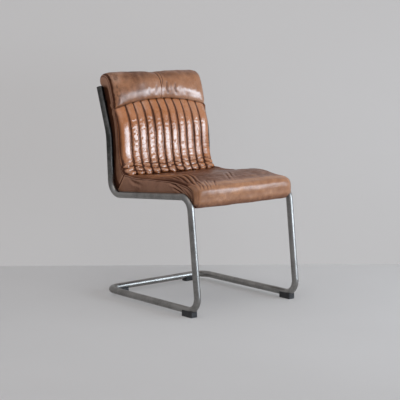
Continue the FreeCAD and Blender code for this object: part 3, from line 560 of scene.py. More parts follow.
def leather_skin():
    """Waxed leather: patches of tone, painted shade in the folds, crests lighter by wear and a painted sheen,
    and a fine pebbled grain.
    """
    tree, place, given, result = new_skin(
        "leather skin",
        {"Leather": None, "Dark": None, "Light": None, "Mottling": 0.5, "Crest wear and sheen": 0.5, "Gloss": 0.5},
        ("Color", "Roughness", "Height", "Coat"))
    shade = node(tree, "ShaderNodeAttribute", attribute_name="fold_shade").outputs["Fac"]
    patches = clouds(place, 9.0, 5.0, 0.62)[0]
    marks = clouds(place, 38.0, 6.0, 0.7)[0]
    specks = clouds(place, 260.0, 3.0)[0]
    tone = plus(ranged(patches, 0.3, 0.7, -0.5, 0.5), ranged(marks, 0.3, 0.7, -0.35, 0.35))
    tone = times(plus(tone, ranged(specks, 0.3, 0.7, -0.18, 0.18)), given["Mottling"])
    # painted shade in the folds, and dark patches of tone
    shade_and_dark_patches = ranged(plus(times(tone, 0.5), shade), 0.0, -0.75)
    shade_and_dark_patches = plus(shade_and_dark_patches, ranged(tone, -0.05, -0.9, 0.0, 0.6), clamp=True)
    # crests lighter: wear, and a painted sheen
    crests = times(ranged(shade, 0.1, 0.9), given["Crest wear and sheen"])
    wear_and_sheen = plus(ranged(tone, 0.05, 0.8), crests, clamp=True)
    base = mixed(shade_and_dark_patches, mixed(wear_and_sheen, given["Leather"], given["Light"]), given["Dark"])
    bent = clouds(place, 300.0, 2.0)[1]
    pebbles = node(tree, "ShaderNodeVectorMath", {0: bent, 1: (0.004, 0.004, 0.004), 2: place},
                   operation="MULTIPLY_ADD").outputs[0]
    grain = cells(pebbles, 620.0, "SMOOTH_F1")
    creases = cells(place, 95.0, "DISTANCE_TO_EDGE")
    pores = plus(times(grain, -0.6), ranged(creases, 0.0, 0.06, -0.35, 0.0))
    height = plus(pores, times(marks, 1.2))
    rough = plus(ranged(marks, 0.35, 0.65, 0.46, 0.60), times(given["Gloss"], -0.27))
    rough = plus(rough, times(shade_and_dark_patches, 0.3))
    coat = times(times(given["Gloss"], maths("SUBTRACT", 1.0, shade_and_dark_patches)), ranged(patches, 0.38, 0.58, 0.45, 1.0))
    fill_outputs(result, base, rough, height, coat)
    return tree


def worn_finish():
    """Uneven finish of a hard surface: patches, fine scratches and dirt."""
    tree, place, given, result = new_skin("worn finish", {
        "Color": None, "Dirt": None, "Amount": 0.4, "Scale": 60.0, "Smooth": 0.3, "Rough": 0.5})
    patches = clouds(place, given["Scale"], 6.0, 0.65)[0]
    fine = clouds(place, 900.0, 2.0)[0]
    dirt = times(ranged(patches, 0.42, 0.72), given["Amount"])
    rough = ranged(patches, 0.35, 0.65, given["Smooth"], given["Rough"])
    base = mixed(dirt, given["Color"], given["Dirt"])
    fill_outputs(result, base, rough, plus(fine, patches))
    return tree


def steel_skin():
    """Bare steel: light where it is handled and scuffed, darker up the posts where a dark reflection is painted
    in, with fine cloudy marks.

    The side of each post that faces the cushion is painted nearly black, a painted reflection of the shaded
    leather beside it.
    """
    tree, place, given, result = new_skin("bare steel skin", {"Color": None, "Dirt": None})
    x, y, z = node(tree, "ShaderNodeSeparateXYZ", {0: place}).outputs
    patches = clouds(place, 16.0, 4.0)[0]
    marks = clouds(place, 140.0, 4.0)[0]
    (low_y, low_z), (kink_y, kink_z), (top_y, top_z) = np.array([RAIL_BACK, POST_KINK, POST_TOP]) * MM
    # painted dark reflection higher up the posts, with darker stains in patches and marks
    painted_dark_up_posts = ranged(z, 0.40, 0.56, 0.0, 0.72)
    dark = plus(painted_dark_up_posts, ranged(patches, 0.35, 0.7, -0.10, 0.42))
    dark = plus(dark, ranged(marks, 0.4, 0.7, -0.04, 0.10), clamp=True)
    rough = plus(ranged(marks, 0.35, 0.65, 0.31, 0.37), times(dark, 0.10))
    # painted reflection: the side of each post that faces the cushion is made nearly black, like the shaded
    # leather beside it
    inward = ranged(maths("ABSOLUTE", x), 0.2405, 0.2370)
    lower = ranged(z, low_z, kink_z, low_y, kink_y)
    axis = plus(lower, ranged(z, kink_z, top_z, 0.0, top_y - kink_y))
    in_front = ranged(maths("SUBTRACT", y, axis), 0.003, -0.002)
    painted_leather_reflection = times(inward, times(in_front, ranged(z, 0.44, 0.50)))
    metal = mixed(dark, given["Color"], given["Dirt"])
    # painted near-black reflection on the posts' inner side
    metal = mixed(times(painted_leather_reflection, 0.95), metal, (0.006, 0.005, 0.005, 1.0))
    fill_outputs(result, metal, rough, marks)
    return tree


def finish(name, skin_name, build, inputs, bump, distance, **surface):
    """A material whose colour, roughness and relief come from a shader group."""
    if name in bpy.data.materials:
        return bpy.data.materials[name]
    material, tree, shader = new_material(name)
    skin = node(tree, "ShaderNodeGroup", node_tree=bpy.data.node_groups.get(skin_name) or build())
    for key, value in inputs.items():
        skin.inputs[key].default_value = value
    relief = node(tree, "ShaderNodeBump", {
        "Strength": bump, "Distance": distance, "Height": skin.outputs["Height"]})
    tree.links.new(skin.outputs["Color"], shader.inputs["Base Color"])
    tree.links.new(skin.outputs["Roughness"], shader.inputs["Roughness"])
    tree.links.new(relief.outputs[0], shader.inputs["Normal"])
    if "Coat" in skin.outputs:
        tree.links.new(skin.outputs["Coat"], shader.inputs["Coat Weight"])
    for key, value in surface.items():
        shader.inputs[key.replace("_", " ")].default_value = value
    return material


LEATHERS = {  # colour, mottling, wear and painted sheen on the crests, gloss and roughness of the coat
    "channel leather": ("leather_back", 0.50, 0.35, 1.0, 0.18),
    "yoke leather": ("leather_yoke", 0.55, 0.4, 0.9, 0.24),
    "seat leather": ("leather", 0.60, 0.65, 0.45, 0.27),
    "side leather": ("leather_side", 0.45, 0.25, 0.25, 0.32),
}


def leather(name):
    tones = colours()
    tone, mottling, crest_wear_and_sheen, gloss, coat_roughness = LEATHERS[name]
    return finish(
        name, "leather skin", leather_skin,
        {"Leather": rgba(getattr(tones, tone)), "Dark": rgba(tones.leather_dark),
         "Light": rgba(tones.leather_light), "Mottling": mottling, "Crest wear and sheen": crest_wear_and_sheen, "Gloss": gloss},
        bump=0.35, distance=0.0006, Coat_Roughness=coat_roughness, Coat_IOR=1.5 + 0.35 * gloss,
        Specular_IOR_Level=0.3)


HARD = {  # colour, dirt with its amount and scale, roughness where smooth and where rough, and metallic
    "thread": ("thread", (0.05, 0.045, 0.04), 0.4, 500.0, 0.5, 0.7, 0.0),
    "zinc plate": ("zinc", (0.2, 0.19, 0.17), 0.4, 300.0, 0.25, 0.4, 1.0),
    "black plastic": ("plastic", (0.06, 0.06, 0.06), 0.4, 120.0, 0.38, 0.55, 0.0),
    "plywood": ("plywood", (0.28, 0.15, 0.07), 0.5, 30.0, 0.5, 0.65, 0.0),
    "lining cloth": ("lining", (0.03, 0.03, 0.03), 0.5, 400.0, 0.8, 0.95, 0.0),
}


def hard(name):
    tone, dirt, amount, scale, smooth, rough, metallic = HARD[name]
    return finish(
        name, "worn finish", worn_finish,
        {"Color": rgba(getattr(colours(), tone)), "Dirt": rgba(dirt), "Amount": amount, "Scale": scale,
         "Smooth": smooth, "Rough": rough},
        bump=0.1, distance=0.0003, Metallic=metallic)


def bare_steel():
    return finish(
        "bare steel", "bare steel skin", steel_skin,
        {"Color": rgba(colours().steel), "Dirt": rgba(colours().stains_and_dark_reflection)},
        bump=0.03, distance=0.0003, Metallic=1.0)


# Seat

# Depths and heights of its front surface in the middle and at a side seam, and of its plain back
SEAT_MIDDLE = [
    (196, 461), (151, 461.5), (110, 462.5), (70, 463.5), (0, 468), (-60, 476), (-115, 484.5), (-160, 484.5),
    (-203, 478), (-238, 470.5), (-262, 465), (-279, 459), (-288, 449), (-290, 435), (-288, 418),
    (-285, 399), (-274, 385), (-257, 384.4), (-240, 384.3)]
SEAT_SIDE = [
    (196, 463), (151, 467), (110, 464.5), (70, 463), (0, 465), (-60, 465.4), (-115, 466.8), (-155, 466),
    (-190, 462.5), (-215, 458.5), (-234, 453), (-246, 444), (-252.5, 432), (-256, 418.5), (-258.5, 405.5),
    (-260.5, 393.5), (-261, 386), (-252, 384.5), (-240, 384.3)]
SEAT_UNDER = [
    (196, 404.6), (151, 408.1), (110, 411.3), (70, 414.4), (0, 419.9), (-60, 424.5), (-115, 428.7),
    (-155, 431.9), (-190, 434.7), (-207, 436), (-221, 434.2), (-233, 428.4), (-245, 418.7),
    (-256.5, 408.6), (-258, 403), (-256, 397), (-252, 391), (-247, 387.5), (-240, 385.8)]
SEAT_ROWS, SEAT_COLUMNS = 230, 190
SEAT_REAR = 196
SEAT_UP = (0, -0.3, 1)
CREASE = SEAT_REAR + 262  # run of the crease over the nose, from the seat's rear edge
SEAT_FOLDS = [  # line as x and depth, height and width of each fold
    ([(-186, 165), (-172, 70), (-160, -40), (-158, -110)], 4.4, 6.5),
    ([(-160, 120), (-140, 30), (-138, -60)], 3.2, 6.5),
    ([(-94, 110), (-100, 0), (-120, -110)], 2.6, 7.0),
    ([(-206, 150), (-204, 60), (-200, -40)], 3.0, 5.0),
    ([(-176, -60), (-188, -120), (-204, -190), (-212, -240)], 2.9, 5.0),
    ([(-152, -90), (-172, -155), (-196, -215), (-212, -266)], 3.0, 5.0),
    ([(-190, -60), (-202, -130), (-212, -190)], 2.6, 4.6),
    ([(-136, -120), (-158, -175), (-184, -236)], 1.9, 4.8),
    ([(-188, -232), (-200, -262), (-209, -292)], 1.7, 3.6),
    ([(-173, -222), (-187, -258), (-198, -294)], 1.5, 3.6),
    ([(-156, -238), (-173, -268), (-182, -298)], 1.2, 3.8),
    ([(-136, -224), (-157, -262), (-167, -292)], 0.9, 4.0),
    ([(-108, -236), (-130, -266), (-142, -288)], 1.1, 3.8),
    ([(5, -165), (-20, -210), (-44, -252)], 0.6, 5.5),
    ([(39, -142), (12, -185), (-14, -228)], 0.7, 5.5),
    ([(177, 110), (195, 50), (212, -5)], 2.6, 6.5),
    ([(150, 120), (176, 60), (200, 0)], 1.8, 6.5),
    ([(185, -60), (196, -130), (204, -190)], 2.4, 5.5),
]


def seat_grid():
    middle, side, under = smooth_lines([SEAT_MIDDLE, SEAT_SIDE, SEAT_UNDER], SEAT_ROWS)
    across = panel_columns(SEAT_COLUMNS, 1.25)
    nose = (smoothstep(-225, -262, middle[:, 0]) * smoothstep(386, 408, middle[:, 1]))[:, None]
    full = fullness(across) * (1 - nose) + fullness(across, 16) * nose
    profile = side[:, None, :] + (middle - side)[:, None, :] * full[..., None]
    x = across + np.sign(across) * mm("nose_bulge") * nose * 4 * full * (1 - full)
    return in_space(x, profile), across, run_of(middle), under, nose


def corner_gathers(x, run):
    """Short parallel tucks along the crease, at its right end."""
    start, end, pitch = CREASE - 60, CREASE + 6, 13.0
    place = x - 0.4 * (run - start)
    wave = np.cos(2 * np.pi * (place / pitch + 0.35 * noise(x / 30, run / 25, 33)))
    span = smoothstep(start, start + 0.4 * (end - start), run) * smoothstep(end, end - 0.3 * (end - start), run)
    strong = 0.5 + 0.5 * noise(x / (2.3 * pitch), np.full_like(run, 3.3), 34)
    return smoothstep(160, 195, x) * (1.2 * span * strong * np.sign(wave) * np.abs(wave) ** 0.8)


def seat_relief(grid, run):
    """How far the seat's leather stands off its smooth shape."""
    x, along = grid[..., 0], run[:, None]
    to_seam = mm("panel_half") - np.abs(x)
    relief = valley(to_seam, mm("seam_width"), mm("seam_depth"))
    for line, height, width in SEAT_FOLDS:
        relief += fold(x, SEAT_REAR - along, line, height, width)
    relief += corner_gathers(x, along)
    relief += 1.3 * noise(x / 70, along / 55, 5) + 0.5 * noise(x / 24, along / 21, 6)
    return relief * (0.35 + 0.65 * smoothstep(0, 14, to_seam))


class CHAIR_OT_seat(Operator):
    """Makes the seat cushion: one leather panel over the crown and the nose"""
    bl_idname = "chair.seat"
    bl_label = "Seat cushion"

    def execute(self, context):
        grid, across, run, under, nose = seat_grid()
        relief = seat_relief(grid, run)
        ends = smoothstep(0, 10, run)[:, None] * smoothstep(run[-1], run[-1] - 8, run)[:, None]
        grid = lifted(grid, SEAT_UP, relief * ends)
        half = mm("panel_half")
        # painted shade in the folds and along the seams; a painted highlight, with wear, along the crease; the
        # nose painted lighter where the lamp falls on it, and the whole seat a little darker
        at_seam = line_shade(half - np.abs(across), 2.2) * (1 - nose)
        wear_and_sheen = line_shade(run - CREASE, 7.0)[:, None] * smoothstep(205, 190, np.abs(across))
        shade = fold_shade(relief, 10) - at_seam + 0.6 * wear_and_sheen + 0.85 * nose - 0.20
        upholster("seat_cushion", grid, [(under, -half), (under, half)], shade,
                  "seat leather", ("seat_cover", "seat_foam"))
        sew_sides("seat_stitching", lifted(grid, SEAT_UP, STITCH_LIFT)[6:-8], across)
        return {"FINISHED"}


# Back: sewn channels

GROOVE_DEPTHS = 0.85, 0.45, 1.0, 1.0, 0.9, 1.0, 1.0, 0.5, 1.0, 1.0  # as shares of the full depth
GROOVE_LIFT = 0.3  # of the stitches off the bottom of a groove
TUCK_DEPTH, TUCK_HEIGHT = 14, 64  # of the leather that runs in under the yoke
FOOT_DEPTH, FOOT_HEIGHT = 15, 14  # of the roll at the foot of the channels
QUILT_ROWS, CHANNEL_STEPS, EDGE_STEPS = 180, 15, 18  # steps across a channel, and across one at the edge
CROWDING = 0.55  # how much closer together the steps lie by the grooves
SLACKEN_STEPS = 160
SPRING_UP, SPRING_ACROSS, SPRING_BEND, EVENING = 0.22, 0.16, 0.12, 0.07  # share of an error mended in a step
BEND_SPAN, BEND_LIMIT = 8, 0.76  # rows of one bend, and how near its ends may come, as a share of its length
SPARE_ACROSS = 1.01  # rest length across the channels, as a share of the length at the start
PRESSURE = 0.01  # push of the padding in one step
DEEPEST, HIGHEST = -2.2, 7.5  # bounds of the leather's distance from its smooth shape
BEHIND_LIP = 8  # how far the channels run up behind the yoke's lip
APART = 7.3  # keeps the noise of each channel apart from the next


def channel_columns():
    """Places across the back, and where each lies between its channel's grooves."""
    half, pitch, count = mm("panel_half"), mm("channel_pitch"), sizes().channel_count
    grooves = [-half] + [(index - count / 2) * pitch for index in range(1, count)] + [half]
    across, inside, number = [], [], []
    for channel, (left, right) in enumerate(zip(grooves, grooves[1:])):
        steps = EDGE_STEPS if channel in (0, count - 1) else CHANNEL_STEPS
        for step in range(steps):
            share = step / steps - CROWDING * math.sin(2 * math.pi * step / steps) / (2 * math.pi)
            across.append(left + (right - left) * share)
            inside.append(share)
            number.append(channel)
    return np.array(across + [half]), np.array(inside + [0.0]), np.array(number + [count - 1])


def quilt_grid():
    """The smooth shape of the channels, before the leather slackens: rows lie closer towards the foot."""
    across, inside, number = channel_columns()
    top = arch_height(across) + BEHIND_LIP
    share = np.linspace(0, 1, QUILT_ROWS)[:, None]
    share = 0.55 * share + 0.45 * share ** 2
    z = BACK_FOOT - 3 + (top - BACK_FOOT + 3) * share
    x = np.broadcast_to(across, z.shape)
    lift = 1 - np.array([1.0, *np.resize(GROOVE_DEPTHS, sizes().channel_count - 1), 1.0])
    lift = 0.6 * (lift[number] * (1 - inside) + lift[number + 1] * inside)
    bulge = (1 - np.abs(2 * inside - 1) ** 7) ** 0.5
    bulge = bulge + (1 - bulge) * lift
    below = top - BEHIND_LIP - z
    tuck = TUCK_DEPTH * np.clip(1 - below / TUCK_HEIGHT, 0, 2) ** 1.5
    tuck = tuck * (0.6 + 0.4 * np.clip(1 - (x / mm("panel_half")) ** 2, 0, 1))
    foot = np.clip((BACK_FOOT + 11 - z) / FOOT_HEIGHT, 0, 1)
    roll = FOOT_DEPTH * (1 - np.sqrt(1 - foot ** 2))
    height = mm("channel_height") * bulge * (1 - 0.75 * np.clip(1 - below / 44, 0, 1) ** 1.5)
    y = seam_depth(z) - crown(x) - height + tuck + roll
    return np.stack([x, y, z], axis=2), inside, number


def foot_folds(x, up, inside, number):
    """Stacked folds at the foot of every channel, each channel with its own spacing, slant and height."""
    chance = np.random.default_rng(14)
    count = sizes().channel_count
    spacing, slant = chance.uniform(12.5, 17.5, count)[number], chance.uniform(-15, 15, count)[number]
    shift, high = chance.uniform(0, 1, count)[number], chance.uniform(6.0, 8.6, count)[number]
    bent = up + slant * (inside - 0.5) + 3.5 * noise(x / 16, up / 20, 45)
    crest = np.abs(np.sin(np.pi * (bent / spacing + shift))) ** 0.7
    return high * (crest - 0.4) * smoothstep(50, 28, bent)


def quilt_relief(grid, inside, number):
    """Puckers across the channels and the stacked folds at their foot."""
    x, up = grid[..., 0], grid[..., 2] - BACK_FOOT
    open_share = np.sin(np.pi * inside) ** 0.5
    own = number * APART
    lively = smoothstep(232, 185, up) * (0.5 + 0.5 * smoothstep(150, 70, up)) * smoothstep(25, 50, up)
    cross = noise(x / 19 + own, up / 9.5, 41) * 1.2 + noise(x / 10, up / 4.5 + own, 43) * 0.5
    smooth_edge = np.where(number == 0, 0.2, 1.0)
    return open_share * (smooth_edge * lively * cross + foot_folds(x, up, inside, number))


def dents(grid, inside, number):
    """Small dents scattered over the channels, more in some than in others."""
    x, up = grid[..., 0], grid[..., 2] - BACK_FOOT
    spots = np.clip(noise(x / 11 + number * APART, up / 9.5, 47) - 0.16, 0, 1)
    many = np.random.default_rng(8).uniform(0.3, 1.0, sizes().channel_count)[number]
    many[number == 0] = 0.1
    open_share = np.sin(np.pi * inside) ** 0.5
    return -3.8 * spots * many * open_share * smoothstep(225, 190, up) * smoothstep(30, 60, up)


def pull(points, free, stride, axis, rest, share, only_short=False):
    """Moves pairs of points, a stride apart, towards their distance at rest."""
    before, after = [slice(None)] * 2, [slice(None)] * 2
    before[axis], after[axis] = slice(0, -stride), slice(stride, None)
    before, after = tuple(before), tuple(after)
    gap = points[after] - points[before]
    reach = np.linalg.norm(gap, axis=2)
    error = np.minimum(reach - rest, 0) if only_short else reach - rest
    move = gap * (share * error / np.maximum(reach, 1e-6))[..., None]
    change = np.zeros_like(points)
    change[before] += move
    change[after] -= move
    points += change * free[..., None]


def slacken(base, start, slack, sewn):
    """Lets leather that is longer than its start shape buckle between its seams.

    Springs along both ways of the grid seek their rest lengths, a stiffness keeps folds rounded,
    and the padding behind pushes outward and stops the leather from sinking in.
    """
    normals = grid_normals(base, (0, -1, 0))
    free = (~sewn).astype(float)
    points = start.copy()
    rest_up = np.linalg.norm(np.diff(start, axis=0), axis=2) * (1 + (slack[1:] + slack[:-1]) / 2)
    rest_across = np.linalg.norm(np.diff(start, axis=1), axis=2) * SPARE_ACROSS
    far = sum(rest_up[step:len(rest_up) - BEND_SPAN + 1 + step] for step in range(BEND_SPAN))
    for _ in range(SLACKEN_STEPS):
        pull(points, free, 1, 0, rest_up, SPRING_UP)
        pull(points, free, 1, 1, rest_across, SPRING_ACROSS)
        pull(points, free, BEND_SPAN, 0, BEND_LIMIT * far, SPRING_BEND, only_short=True)
        between = (points[:, 2:] + points[:, :-2]) / 2
        points[:, 1:-1] += EVENING * free[:, 1:-1, None] * (between - points[:, 1:-1])
        away = np.sum((points - base) * normals, axis=2)
        kept = np.clip(away + PRESSURE, DEEPEST, HIGHEST)
        points += ((kept - away) * free)[..., None] * normals
    return points


def quilt_slack(grid, number):
    """Share of spare length up the channels: little at the top, a bunch at the foot."""
    x, up = grid[..., 0], grid[..., 2] - BACK_FOOT
    slack = 0.004 + 0.016 * smoothstep(215, 130, up) + 0.012 * smoothstep(50, 15, up)
    slack = slack * (0.8 + 0.55 * noise(x / 40 + number * APART, up / 34, 91))
    return np.where(number == 0, slack * (0.3 + 0.7 * smoothstep(50, 40, up)), slack)


class CHAIR_OT_back(Operator):
    """Makes the channelled front of the back"""
    bl_idname = "chair.back"
    bl_label = "Back channels"

    def execute(self, context):
        base, inside, number = quilt_grid()
        normals = grid_normals(base, (0, -1, 0))
        start = base + normals * quilt_relief(base, inside, number)[..., None]
        sewn = np.broadcast_to(inside == 0, base.shape[:2]).copy()
        sewn[[0, -1]] = True
        grid = slacken(base, start, quilt_slack(base, number), sewn)
        relief = np.sum((grid - base) * normals, axis=2)
        grid += normals * dents(grid, inside, number)[..., None]
        to_groove = np.minimum(inside, 1 - inside) * mm("channel_pitch")
        to_lip = np.clip(arch_height(grid[..., 0]) - grid[..., 2], 0, None)
        at_foot = smoothstep(60, 42, grid[..., 2] - BACK_FOOT)
        shade = fold_shade(relief, 8) + at_foot * fold_shade(relief, 30, 0.6)
        shade = shade - line_shade(to_groove, 1.15) - line_shade(to_lip, 4.0, 0.8)
        half = mm("panel_half")
        height = grid[:, 0, 2]
        behind = np.column_stack([post_depth(height) - SHELL_FACE, height])
        upholster("back_channels", grid, [(behind, -half), (behind, half)], shade,
                  "channel leather", ("back_channel_panel", "back_foam"))
        grooves = np.flatnonzero(inside == 0)[1:-1]
        sew("channel_stitching", [grid[4:-6, column] - (0, GROOVE_LIFT, 0) for column in grooves])
        return {"FINISHED"}


# Yoke over the top of the back

def yoke_keys(x):
    """Side view of the yoke at every place across it: lip, belly, top, and round to the rear hem."""
    full = fullness(x)
    low = arch_height(x)
    dip = 5 * np.clip(1 - np.abs(x) / (mm("panel_half") / 2), 0, None) ** 2
    ridge = SIDE_TOP + 3 + 11 * fullness(x, 14) - dip

    def front(height, forward):
        return np.stack([seam_depth(height) - crown(x) - forward, height], axis=-1)

    turn = front(np.full_like(x, 817.0), 2.5 + 11.5 * full)
    top = np.stack([post_depth(ridge) - 24, ridge], axis=-1)
    end = np.broadcast_to(YOKE_HEM, x.shape + (2,))
    fall = (end - top) / np.linalg.norm(end - top, axis=-1, keepdims=True)
    outward = np.stack([-fall[:, 1], fall[:, 0]], axis=-1)
    return np.stack([
        front(low + 3, -19), front(low - 0.5, -4 - full), front(low + 27, 3.5 + 7.5 * full),
        front(low + 55, 4.8 + 11.5 * full), turn,
        (turn + top) / 2 + (3 + 3.5 * full)[:, None] * np.array([-0.95, 0.95]), top,
        (top + end) / 2 + outward * (18.5 + 2 * full)[:, None], end])


YOKE_FOLDS = [  # line as x and run, height and width of each fold
    ([(32, 34), (26, 54), (28, 84)], 1.3, 6.5),
    ([(74, 32), (66, 54), (70, 78)], 1.2, 7.0),
    ([(112, 36), (114, 60)], 0.6, 7.0),
    ([(-26, 34), (-22, 68)], 0.8, 6.5),
    ([(-60, 34), (-57, 60)], 0.6, 7.0),
]
YOKE_TOPSTITCH = [(3.0, 50), (9.5, 80), (13.5, 115), (14.5, 200)]  # x and run, by the middle seam
LIP_TOPSTITCH = 19.5  # run of the stitches above the lip
YOKE_THICKNESS = 7.0
YOKE_GAP = 0.25  # between each half and the middle
YOKE_ROWS, YOKE_COLUMNS = 104, 112


def yoke_relief(x, run):
    """The yoke's seams, puckers and dimples, and its painted shade; run is the distance from the hidden edge
    behind the lip.
    """
    half = mm("panel_half")
    to_seam = np.abs(x)
    fading = 0.25 + 0.75 * smoothstep(45, 85, run)
    relief = valley(half - to_seam, mm("seam_width"), mm("seam_depth"))
    relief += valley(to_seam, 4.0, 2.6) * fading
    to_stitches = distance_to(x, run, YOKE_TOPSTITCH)[0]
    relief += valley(to_stitches, 2.8, 1.8) * smoothstep(60, 80, run)
    for line, height, width in YOKE_FOLDS:
        relief += fold(x, run, line, height, width)
    dimples = noise(x / 24, run / 36, 67) * 0.8 + noise(x / 60, run / 50, 68) * 1.3
    relief += smoothstep(4, 24, run) * smoothstep(2, 14, to_seam) * dimples
    lines = line_shade(to_seam, 1.8) * fading + line_shade(to_stitches, 1.6, 0.8) * smoothstep(60, 80, run)
    # darker mottling by the left seam, with painted shade along the top, where the leather turns up, and over
    # the left middle, where it dims the highlight
    grime_and_shade = smoothstep(-165, -212, x) * (0.22 + 0.5 * noise(x / 7, run / 9, 73))
    grime_and_shade = grime_and_shade + 0.3 * smoothstep(92, 125, run) + line_shade(x + 95, 45, 0.3)
    # painted shade on the leather that runs in under the lip
    behind_lip = smoothstep(16, 11, run)
    shade = fold_shade(relief, 10, 0.8) - lines - line_shade(half - to_seam, 2.2) - behind_lip - grime_and_shade
    return relief, shade


def yoke_half(side):
    half = mm("panel_half")
    across = (YOKE_GAP + (half - YOKE_GAP) * np.linspace(0, 1, YOKE_COLUMNS) ** 1.3) * side
    keys = yoke_keys(across)
    travelled = run_of(keys.mean(axis=1))
    places = np.linspace(0, travelled[-1], YOKE_ROWS)
    grid = in_space(across, hermite(keys, travelled, places))
    relief, shade = yoke_relief(grid[..., 0], places[:, None])
    grid = lifted(grid, (0, -1, 1), relief)
    name = "yoke_left" if side < 0 else "yoke_right"
    backs = [(offset(grid[:, column, 1:], YOKE_THICKNESS), across[column]) for column in (0, -1)]
    nodes = ("back_yoke_left", "yoke_foam") if side < 0 else ("back_yoke_right",)
    upholster(name, grid, backs, shade, "yoke leather", nodes)
    top = lifted(grid, (0, -1, 1), STITCH_LIFT)
    above_lip = top[int(np.searchsorted(places, LIP_TOPSTITCH)), 3:-3]
    mirror = (side, 1, 1)
    by_side = across_grid(top[16:-3] * mirror, half - mm("topstitch"), np.abs(across)) * mirror
    sew(name + "_stitching", [above_lip, by_side])


class CHAIR_OT_yoke(Operator):
    """Makes both halves of the smooth yoke"""
    bl_idname = "chair.yoke"
    bl_label = "Yoke"

    def execute(self, context):
        for side in (-1, 1):
            yoke_half(side)
        return {"FINISHED"}


# Side covers: upper and lower edge of the seat's, rear edge of the back's, as depths and heights

SIDE_SEAM = [(151.3, 468), (130, 467.5), (105, 464.5)] + SEAT_SIDE[3:16] + [(-262.5, 384.5)]
SIDE_FOOT = [
    (195.2, 408.1), (178, 398.7), (161, 396.9), (110, 400.8), (60, 404.7), (0, 409.3), (-60, 413.9),
    (-115, 418.2), (-160, 421.7), (-193, 422.5), (-222, 417), (-236, 411), (-240.5, 406), (-240.5, 401),
    (-240.5, 396), (-240.5, 390.5), (-241, 384.5)]
SIDE_FOLDS = [  # line as depth and height, height and width of each fold
    ([(-120, 462), (-153, 457), (-181, 447), (-209, 434), (-237, 412)], 2.0, 4.5),
    ([(-140, 448), (-175, 439), (-205, 426), (-232, 408)], 1.8, 4.5),
    ([(-190, 452), (-214, 440), (-236, 424), (-246, 404)], 1.4, 4.0),
    ([(120, 458), (90, 447), (40, 441)], 0.9, 7.0),
]
BACK_REAR = [
    (206.5, 397.5), (217, 408), (224, 425), (226.5, 445), (228, 480), (230, 520), (232, 560), (233.5, 590),
    (238, 625), (247, 656), (257, 687), (266, 715), (271, 730), (275, 742), (279, 754), (282.5, 765),
    (285, 773), (287.2, 780), (289, 785.5), (290.8, 791), (292.2, 795), (293.8, 798), (295.2, 799.5)]
SIDE_ROWS, SIDE_COLUMNS = 170, 44
SIDE_INSET, SIDE_GAP = 0.6, 0.3  # from the body's side, and from the front panels


def side_cover(name, seam, foot, side, folds, low_shade, shadow):
    """A flat cover between two lines of the side view, with rolled edges, painted shade low down and a painted
    shadow by the post.
    """
    high, low = smooth_lines([seam, foot], SIDE_ROWS)
    share = (1 - np.cos(np.linspace(0, math.pi, SIDE_COLUMNS))) / 2
    profile = low[:, None] + (high - low)[:, None] * share[:, None]
    wide = np.linalg.norm(high - low, axis=1)[:, None]
    run = run_of(high)[:, None]
    to_edge = np.minimum(np.minimum(share * wide, (1 - share) * wide), np.minimum(run, run[-1] - run))
    y, z = profile[..., 0], profile[..., 1]
    relief = valley(to_edge, 3.5, 2.0) + 0.25 * noise(y / 60, z / 40, 71)
    to_stitches = np.abs((1 - share) * wide - mm("topstitch"))
    relief += valley(to_stitches, 2.2, 1.4)
    for line, height, width in folds:
        relief += fold(y, z, line, height, width) * smoothstep(0, 6, to_edge) - 0.1 * height
    relief = np.minimum(relief, 0.9)
    grid = in_space(side * (mm("body_half") - SIDE_INSET + relief), profile)
    inside = side * (mm("panel_half") + SIDE_GAP)
    shade = fold_shade(relief, 6) - line_shade(to_edge, 2.0) - line_shade(to_stitches, 1.6, 0.7)
    # painted shadow in the gap beside the post, and painted shade that grows lower down
    post_shadow_band = smoothstep(44, 32, share * wide) * smoothstep(806, 776, z)
    shade = shade - shadow * post_shadow_band - low_shade * smoothstep(690, 480, z)
    cad_node = name.replace("side", "side_cover")
    upholster(name, grid, [(low, inside), (high, inside)], shade, "side leather", (cad_node,))
    place = 1 - mm("topstitch") / wide[:, 0]
    column = np.clip(np.searchsorted(share, place), 1, SIDE_COLUMNS - 1)
    rows = np.arange(len(place))
    line = grid[rows, column] + (side * STITCH_LIFT, 0, 0)
    line[:, 1:] = low + (high - low) * place[:, None]
    sew(name + "_stitching", [line[4:-4]])


def back_seam_line():
    heights = np.array([468, 485, 500, 521, 540, 560, 600, 632, 660, 690, 711])
    front = [(float(seam_depth(height)), float(height)) for height in heights]
    half = np.array([mm("panel_half")])
    corner = yoke_keys(half)[:, 0]
    over = hermite(corner, run_of(corner), np.linspace(0, run_of(corner)[-1], 13))[1:]
    return front + [tuple(point) for point in over]


class CHAIR_OT_sides(Operator):
    """Makes the side covers of the seat and of the back"""
    bl_idname = "chair.sides"
    bl_label = "Side covers"

    def execute(self, context):
        front = back_seam_line()
        for side, word in ((-1, "left"), (1, "right")):
            side_cover(f"seat_side_{word}", SIDE_SEAM, SIDE_FOOT, side, SIDE_FOLDS, low_shade=0.2, shadow=0.0)
            side_cover(f"back_side_{word}", front, BACK_REAR, side, [], low_shade=0.42, shadow=1.2)
        return {"FINISHED"}


# Rear of the back

REAR_OUTSIDE, REAR_INSIDE = -12.2, -9.2  # from the post's centre line
REAR_TOP, REAR_END = (282.4, 799.4), (140, 394.6)
REAR_COLUMNS, REAR_STEP = 120, 3.0


